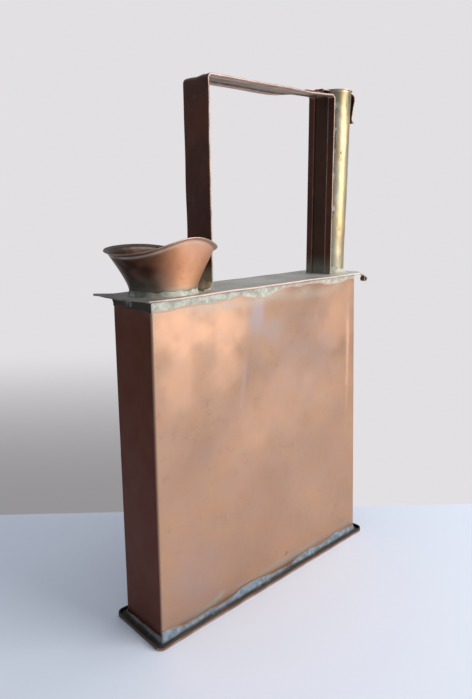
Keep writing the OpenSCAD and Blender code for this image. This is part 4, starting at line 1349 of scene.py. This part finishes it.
    def foot_solder(self) -> bpy.types.Object:
        """A lumpy fillet in the angle of the left foot: a hollow profile across the strap."""
        y = np.linspace(-self.width / 2 + 0.6 * MM, self.width / 2 - 0.6 * MM, 60)[:, None]
        spot = np.concatenate([0 * y, y, 0 * y], 1)
        high = 9 * MM * np.clip(1 + 0.25 * Waves(12 * MM, 131)(spot), 0.5, 1.5)[:, None]
        wide = 5.5 * MM * np.clip(1 + 0.2 * Waves(9 * MM, 132)(spot), 0.5, 1.4)[:, None]
        b = np.linspace(0, 1, 9)[None, :]
        base = self.level + 1.0 * MM
        x = np.concatenate([self.left_x - wide * (1 - b) ** 1.6 - 0.25 * MM * (1 - b), self.left_x + 0.3 * MM + 0 * y, self.left_x + 0.3 * MM + 0 * y], 1)
        z = np.concatenate([base + high * b**1.5, base + high, base + 0 * y], 1)
        x += self.left_lean * (z - self.level) / (self.left_top - self.level)
        points = np.stack(np.broadcast_arrays(x, y, z), -1)
        points[:, 1:8, 0] -= np.abs(0.15 * Waves(9 * MM, 133)(points[:, 1:8])) * MM
        return build_mesh("left_foot_fillet", [Lattice(points, {"green": 0.9 + 0 * z}, close_v=True, flip=True)])

    def build(self, finishes: Finishes) -> None:
        """Builds and dresses the handle."""
        install(self.strap(), finishes.dark, stands_for=("handle_strap",))
        install(self.foot_solder(), finishes.solder, stands_for=("left_foot_solder",))


# ---------------------------------------------------------------- tube


@dataclass
class PouringTube:
    """The brass tube with its mouth, and the solder that holds it."""

    x: float = 134.8 * MM
    level: float = 337.5 * MM
    top: float = 540.0 * MM
    radius: float = 17.5 * MM
    wall: float = 1.0 * MM
    lean: float = math.radians(2.7)
    mouth_w: float = 18.0 * MM
    mouth_h: float = 22.0 * MM
    leg_x: float = 116.8 * MM
    leg_lean: float = 4.6 * MM
    leg_rise: float = 198.1 * MM
    pits: tuple[tuple[float, float, float], ...] = (
        (-104.3, 477.8 * MM, 1.1 * MM), (-108.0, 475.6 * MM, 0.8 * MM), (-112.7, 473.0 * MM, 0.8 * MM), (-111.1, 466.2 * MM, 1.0 * MM),
        (-105.0, 388.0 * MM, 0.9 * MM))

    def axis(self, z: np.ndarray) -> np.ndarray:
        """Where the tube's axis is at height z."""
        return self.x + (z - self.level) * math.tan(self.lean)

    def tube(self) -> bpy.types.Object:
        """The wall: a leaning cylinder whose upper end drops along a half-round notch."""
        half = self.mouth_w / 2
        side = math.asin(half / self.radius)
        arc = np.linspace(-side, side, 33)
        rest = np.linspace(side + 0.02, 2 * math.pi - side - 0.02, 120)
        a = np.concatenate([arc, rest])[:, None]
        y = self.radius * np.sin(a)
        notch = self.top - self.mouth_h + half - np.sqrt(np.clip(half**2 - y**2, 0, None))
        inside = (np.cos(a) > 0) & (np.abs(y) <= half * 1.0001)
        high = np.where(inside, notch, self.top)
        low = self.level - 0.2 * MM + 0 * a
        v = np.linspace(0, 1, 110)[None, :]
        z = low + (high - low) * v
        points = np.stack([self.axis(z) + self.radius * np.cos(a), np.broadcast_to(y, z.shape), z], -1)
        out = np.concatenate([np.cos(a), np.sin(a), 0 * a], 1)[:, None, :]
        dent = 0.12 * Waves(40 * MM, 141)(points) + 0.05 * Waves(12 * MM, 142)(points)
        points = points + (dent * MM * smooth(z, low + 4 * MM, low + 20 * MM))[..., None] * out
        pit = np.zeros_like(z)
        for angle, height, size in self.pits:
            away = np.hypot(self.radius * (a - math.radians(angle % 360)), z - height)
            pit = np.maximum(pit, 1 - smooth(away, 0.5 * size, 1.1 * size))
        points = points - 0.35 * MM * pit[..., None] * out
        mottle = 0.5 + 0.5 * np.tanh(Waves(9 * MM, 143)(points))
        degrees = np.degrees((a + math.pi) % (2 * math.pi) - math.pi)
        # highlight_stripe: the painted highlight that runs down the tube
        highlight_stripe = bump_at(degrees, -98, 13) + 0.7 * bump_at(degrees, -60, 26) + 0.4 * bump_at(degrees, 40, 70)
        streak = np.tanh(Waves(7 * MM, 144)(points * [1.0, 1.0, 0.12]))
        upper, lower = bump_at(z, self.top, 26 * MM), 0.8 * bump_at(z, self.level, 22 * MM)
        ends = upper + lower
        paint = {
            # haze: greyer away from the highlight, and bloom near the foot
            "haze": np.clip(0.5 - 0.45 * highlight_stripe + 0.55 * lower - 0.2 * upper + 0.4 * (mottle - 0.5) + 0.35 * streak, 0, 1),
            "green": np.clip(0.3 * ends * mottle, 0, 1),
            # glow: painted highlight along the stripe
            "glow": np.clip(0.6 * highlight_stripe * (1 - ends), 0, 1),
            # dark: pits and streaks, painted shade away from the stripe, and darker towards the top under the lid
            "dark": np.clip(pit + 0.3 * np.clip(streak, 0, 1) * (0.3 + ends) + 0.12 * mottle * (1 - highlight_stripe) + 0.85 * upper * (0.75 + 0.25 * streak), 0, 1),
            "edge": 0.8 * smooth(v, 0.995, 1.0) + 0 * z,
        }
        made = build_mesh("tube", [Lattice(points, paint, close_u=True)])
        thicken(made, self.wall)
        return made

    def foot_solder(self) -> bpy.types.Object:
        """A lumpy collar round the tube's foot that runs out on the plate in tongues."""
        a = np.linspace(0, 2 * math.pi, 200, endpoint=False)[:, None]
        spot = np.concatenate([self.x + self.radius * np.cos(a), self.radius * np.sin(a), 0 * a], 1)
        wide = 3.8 * MM * np.clip(1 + 0.22 * Waves(18 * MM, 151)(spot), 0.4, 1.5)[:, None]
        high = 5.8 * MM * np.clip(1 + 0.18 * Waves(16 * MM, 152)(spot), 0.5, 1.4)[:, None]
        b = np.linspace(0, 1, 10)[None, :]
        out = np.concatenate([wide * (1 - b) ** 1.7 + 0.3 * MM, -0.4 * MM + 0 * a, -0.4 * MM + 0 * a], 1)
        rise = np.concatenate([high * b**1.5, high * 0.9, -0.4 * MM + 0 * a], 1)
        x = self.x + (self.radius + out) * np.cos(a) + rise * math.tan(self.lean)
        y = (self.radius + out) * np.sin(a)
        leg = self.leg_x + self.leg_lean * rise / self.leg_rise
        x = np.maximum(x, leg + 0.02 * MM)
        z = self.level - 0.05 * MM + rise
        points = np.stack([x, y, z], -1)
        lump = np.abs(0.15 * Waves(8 * MM, 153)(points) + 0.04 * Waves(4 * MM, 154)(points))
        surface = ((np.arange(points.shape[1]) > 0) & (np.arange(points.shape[1]) < 9))[None, :]
        points[..., 2] += np.where(surface, lump, 0) * MM
        return build_mesh("tube_solder", [Lattice(points, {"green": 0.8 + 0 * z}, close_u=True, close_v=True)])

    def seam(self) -> bpy.types.Object:
        """The filling between leg and tube: flush with the leg, hollow at both sides."""
        z = np.linspace(self.level + 5 * MM, 528 * MM, 130)[:, None]
        q = np.linspace(-1, 1, 9)[None, :]
        spine = np.concatenate([0 * z, 0 * z, z], 1)
        half = (11.5 * MM + 0.9 * MM * Waves(20 * MM, 161)(spine))[:, None]
        leg = self.leg_x + self.leg_lean * (z - self.level) / self.leg_rise
        centre = self.axis(z)
        reach = np.sqrt(self.radius**2 - half**2)
        tube_side = centre - reach
        parts = []
        for sign in (-1, 1):
            y0 = half * sign
            bead = 1.4 * MM
            px = np.concatenate([leg - 0.05 * MM, leg + (tube_side - leg) * 0.3, leg + (tube_side - leg) * 0.7, tube_side + 0.8 * MM, tube_side + 0.8 * MM, leg - 0.05 * MM], 1)
            py = np.concatenate([y0 + sign * bead, y0 + sign * bead * 0.35, y0 + sign * bead * 0.3, y0 + sign * bead, y0 - sign * 2 * MM, y0 - sign * 2 * MM], 1)
            points = np.stack(np.broadcast_arrays(px, py, z), -1)
            points[:, 1:4, 1] += sign * np.abs(0.2 * Waves(9 * MM, 162)(points[:, 1:4])) * MM
            # dark: painted shade in the gap between leg and tube
            parts.append(Lattice(points, {"green": 0.1 + 0 * px, "dark": 0.95 + 0 * px}, close_v=True, flip=sign < 0))
        return build_mesh("tube_seam", parts)

    def build(self, finishes: Finishes) -> None:
        """Builds and dresses the tube."""
        install(self.tube(), finishes.brass, stands_for=("spout_tube",))
        install(self.foot_solder(), finishes.solder, stands_for=("tube_foot_solder",))
        install(self.seam(), finishes.solder, stands_for=("tube_seam_solder",))


# ---------------------------------------------------------------- lid


@dataclass
class HingedLid:
    """The lid over the tube: a round plate with a tongue and barrel, and a bent beak."""

    tube_x: float = 144.35 * MM
    hinge_x: float = 111.35 * MM
    hinge_z: float = 538.15 * MM
    level: float = 540.3 * MM
    sheet: float = 1.2 * MM
    radius: float = 18.7 * MM
    barrel_r: float = 2.25 * MM
    barrel_wall: float = 0.98 * MM
    knuckle: float = 6.0 * MM
    tongue: float = 11.6 * MM
    beak_w: float = 20.0 * MM
    reach: float = 24.0 * MM
    droop: float = 4.6 * MM
    beak_h: float = 24.0 * MM
    beak_x: float = 161.918 * MM
    curl: float = 5.0 * MM

    def plate(self) -> Lattice:
        """The round plate as a polar grid about the tube, a little domed."""
        a = np.linspace(0, 2 * math.pi, 96, endpoint=False)[:, None]
        r = np.linspace(0.02, 1, 16)[None, :] * self.radius
        x, y = self.tube_x + r * np.cos(a), r * np.sin(a)
        z = self.level + self.sheet - 0.35 * MM * (r / self.radius) ** 2 * (np.cos(a) > 0) + 0 * a
        points = np.stack([x, y, z], -1)
        # edge: worn rim, brighter at the front as a painted highlight
        edge = smooth(r, 0.9 * self.radius, self.radius) * (0.35 + 0.65 * smooth(-np.sin(a), -0.5, 0.6))
        return Lattice(points, {"edge": edge, "green": 0.3 + 0 * edge}, close_u=True, flip=True, pole=True)

    def tongue_sheet(self) -> Lattice:
        """The tongue that runs to the hinge and wraps round the pin as a barrel."""
        mid = self.barrel_r
        flat = np.linspace(self.tube_x - 8 * MM, self.hinge_x, 18)[:-1]
        turn = np.linspace(math.pi / 2, math.pi / 2 + math.radians(318), 30)
        x = np.concatenate([flat, self.hinge_x + mid * np.cos(turn)])
        z = np.concatenate([flat * 0 + self.hinge_z + mid, self.hinge_z + mid * np.sin(turn)])
        wide = np.where(x > self.hinge_x + 3 * MM, self.tongue / 2, self.knuckle / 2)
        wide[len(flat) - 1:] = self.knuckle / 2
        v = np.linspace(-1, 1, 12)[None, :]
        points = np.stack(np.broadcast_arrays(x[:, None], wide[:, None] * v, z[:, None]), -1)
        edge = smooth(np.abs(v), 0.85, 1.0) * np.ones_like(points[..., 0]) * 0.6
        return Lattice(points, {"edge": edge}, flip=True)

    def beak(self) -> Lattice:
        """The beak: out from the plate, over a bend, down past the mouth and curled out."""
        bend = np.array([self.tube_x + self.reach, self.level + self.sheet - self.droop])
        waist = np.array([self.beak_x + self.sheet, bend[1] - self.beak_h])
        turn = np.linspace(math.pi, 1.5 * math.pi, 10)
        small = self.curl - self.sheet
        curl = waist + np.array([small, 0]) + small * np.stack([np.cos(turn), np.sin(turn)], -1)
        start = np.array([self.tube_x + 11 * MM, self.level + self.sheet])
        brow = np.array([self.tube_x + 18.5 * MM, self.level + self.sheet - 0.2 * MM])
        t = np.linspace(0, 1, 14)[:, None]
        slope = (1 - t) ** 2 * start + 2 * t * (1 - t) * brow + t**2 * bend
        hip = bend + np.array([-0.9 * MM, -9 * MM])
        fall = (1 - t) ** 2 * bend + 2 * t * (1 - t) * hip + t**2 * waist
        path = np.concatenate([slope[:-1], fall[1:-1], curl])
        v = np.linspace(-1, 1, 14)[None, :]
        wide = self.beak_w / 2 * np.ones(len(path))[:, None]
        points = np.stack(np.broadcast_arrays(path[:, :1], wide * v, path[:, 1:]), -1).copy()
        points[..., 1] += 0.15 * MM * Waves(14 * MM, 171)(points)
        # edge: pale edges down both sides, painted highlights on the beak's thin edges
        edge = smooth(np.abs(v), 0.82, 1.0) * np.ones(points.shape[:2])
        return Lattice(points, {"edge": edge * 0.95, "green": 0.25 + 0 * edge}, flip=False)

    def build(self, finishes: Finishes, nodes: dict[str, bpy.types.Object]) -> None:
        """Builds and dresses the lid, and finishes the hinge's solids."""
        lid = build_mesh("lid_plate", [self.plate(), self.beak()], capped=False)
        thicken(lid, self.sheet)
        install(lid, finishes.dark, LID, stands_for=("spout_lid",))
        tongue = build_mesh("lid_tongue", [self.tongue_sheet()])
        thicken(tongue, self.barrel_wall)
        install(tongue, finishes.dark, LID)
        refinish(nodes, "hinge_leaf", finishes.dark)
        refinish(nodes, "hinge_pin", finishes.dark)
        refinish(nodes, "leaf_solder", finishes.solder)


# ---------------------------------------------------------------- studio


@dataclass
class Studio:
    """The camera at the photograph's angle, the floor and the soft light."""

    eye: tuple[float, float, float] = (-0.42985, -0.45415, 0.40754)
    yaw: float = 0.736
    pitch: float = -0.224
    roll: float = -0.024
    focal_px: float = 591.3
    tall_px: float = 699.0
    sensor: float = 36.0
    floor_size: float = 6.0
    wall_line: float = 0.766
    floor_colour: Colour = srgb(232, 238, 250)
    shade_colour: Colour = srgb(150, 148, 150)
    wall_colour: Colour = srgb(226, 224, 226)

    def axes(self) -> tuple[np.ndarray, np.ndarray, np.ndarray]:
        """The camera's right, up and forward, from its yaw, pitch and roll."""
        cy, sy, cp, sp = math.cos(self.yaw), math.sin(self.yaw), math.cos(self.pitch), math.sin(self.pitch)
        ahead = np.array([sy * cp, cy * cp, sp])
        level = np.array([cy, -sy, 0.0])
        above = np.cross(level, ahead)
        right = math.cos(self.roll) * level + math.sin(self.roll) * above
        up = -math.sin(self.roll) * level + math.cos(self.roll) * above
        return right, up, ahead

    def camera(self) -> None:
        """Places the camera and gives it the photograph's lens."""
        right, up, ahead = self.axes()
        data = bpy.data.cameras.new("camera")
        data.sensor_fit = "VERTICAL"
        data.sensor_height = self.sensor
        data.lens = self.focal_px / self.tall_px * self.sensor
        data.clip_start = 0.01
        made = bpy.data.objects.new("camera", data)
        turn = Matrix((right, up, -ahead)).transposed().to_4x4()
        turn.translation = Vector(self.eye)
        made.matrix_world = turn
        bpy.context.scene.collection.objects.link(made)
        bpy.context.scene.camera = made

    def floor(self) -> None:
        """A pale floor that turns into the plain wall colour behind the can.

        Next to the line where it turns, left of the can, the wall colour is shaded.
        """
        half = self.floor_size / 2
        grid = np.linspace(-half, half, 9)
        x, y = np.meshgrid(grid, grid, indexing="ij")
        made = build_mesh("floor", [Lattice(np.stack([x, y, 0 * x - 0.00002], -1))])
        finish = bpy.data.materials.new("floor")
        finish.use_nodes = True
        finish.node_tree.nodes.clear()
        g = Graph(finish.node_tree)
        lit = g.add("BsdfPrincipled", {"Base Color": self.floor_colour, "Roughness": 0.6})
        where = g.add("TexCoord").outputs["Object"]
        ahead = (math.sin(self.yaw), math.cos(self.yaw), 0.0)
        depth = g.add("VectorMath", {0: where, 1: ahead}, operation="DOT_PRODUCT").outputs["Value"]
        start = self.wall_line + ahead[0] * self.eye[0] + ahead[1] * self.eye[1]
        beyond = g.step(depth, start, start + 0.004)
        across = (math.cos(self.yaw), -math.sin(self.yaw), 0.0)
        side = g.add("VectorMath", {0: where, 1: across}, operation="DOT_PRODUCT").outputs["Value"]
        # shade_colour is a painted shadow of the can, left of it and near the line
        clear = g.maths("MAXIMUM", g.step(depth, start, start + 1.1), g.step(side, -0.2, 0.1))
        tone = g.mix(clear, self.shade_colour, self.wall_colour)
        plain = g.add("Emission", {"Color": tone, "Strength": 1.0})
        path = g.add("LightPath")
        seen = g.maths("MAXIMUM", path.outputs["Is Camera Ray"], path.outputs["Is Glossy Ray"])
        share = g.maths("MULTIPLY", beyond, seen)
        blend = g.add("MixShader", {0: share, 1: lit.outputs[0], 2: plain.outputs[0]})
        out = g.add("OutputMaterial")
        g.feed(out.inputs["Surface"], blend.outputs[0])
        made.data.materials.append(finish)

    def world(self) -> None:
        """An even pale room: seen as the wall colour, and dimmer as a light."""
        world = bpy.data.worlds.new("room")
        bpy.context.scene.world = world
        world.use_nodes = True
        world.node_tree.nodes.clear()
        g = Graph(world.node_tree)
        path = g.add("LightPath")
        seen = g.add("Background", {"Color": self.wall_colour, "Strength": 1.0})
        glow = g.add("Background", {"Color": srgb(226, 232, 242), "Strength": 0.5})
        blend = g.add("MixShader", {0: path.outputs["Is Camera Ray"], 1: glow.outputs[0], 2: seen.outputs[0]})
        out = g.add("OutputWorld")
        g.feed(out.inputs["Surface"], blend.outputs[0])

    def lamp(self, name: str, azimuth: float, distance: float, height: float, size: tuple[float, float], power: float, colour: Colour) -> None:
        """Hangs one soft rectangular lamp that faces the can's middle.

        Args:
            name: The lamp's name.
            azimuth: Where it stands, in degrees from the can's +X side.
            distance: How far away it is.
            height: Its centre's height.
            size: Its width and height.
            power: Its power in watts.
            colour: Its colour.
        """
        data = bpy.data.lights.new(name, "AREA")
        data.shape = "RECTANGLE"
        data.size, data.size_y = size
        data.energy = power
        data.color = colour
        made = bpy.data.objects.new(name, data)
        angle = math.radians(azimuth)
        made.location = (distance * math.cos(angle), distance * math.sin(angle), height)
        aim = Vector((0.0, 0.0, 0.25)) - made.location
        made.rotation_euler = aim.to_track_quat("-Z", "Y").to_euler()
        bpy.context.scene.collection.objects.link(made)

    def build(self) -> None:
        """Sets up camera, floor, room light and lamps."""
        self.camera()
        self.floor()
        self.world()
        self.lamp("window", -60, 1.7, 0.95, (1.3, 1.1), 28.0, (1.0, 0.985, 0.96))
        self.lamp("ceiling", -20, 0.9, 1.9, (1.2, 1.2), 8.0, (0.95, 0.97, 1.0))
        bpy.context.scene.view_settings.view_transform = "Standard"


def main(nodes: dict[str, bpy.types.Object]) -> None:
    """Builds the sub-assemblies in order, from the ground up."""
    finishes = Finishes()
    BodyShell().build(finishes)
    BaseTray().build(finishes)
    TopPlate().build(finishes, nodes)
    FillerCup().build(finishes)
    StrapHandle().build(finishes)
    PouringTube().build(finishes)
    HingedLid().build(finishes, nodes)
    Studio().build()


if __name__ == "__main__":
    logging.basicConfig(level=logging.INFO, format="%(name)s: %(message)s")
    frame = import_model()
    main(frame["nodes"])
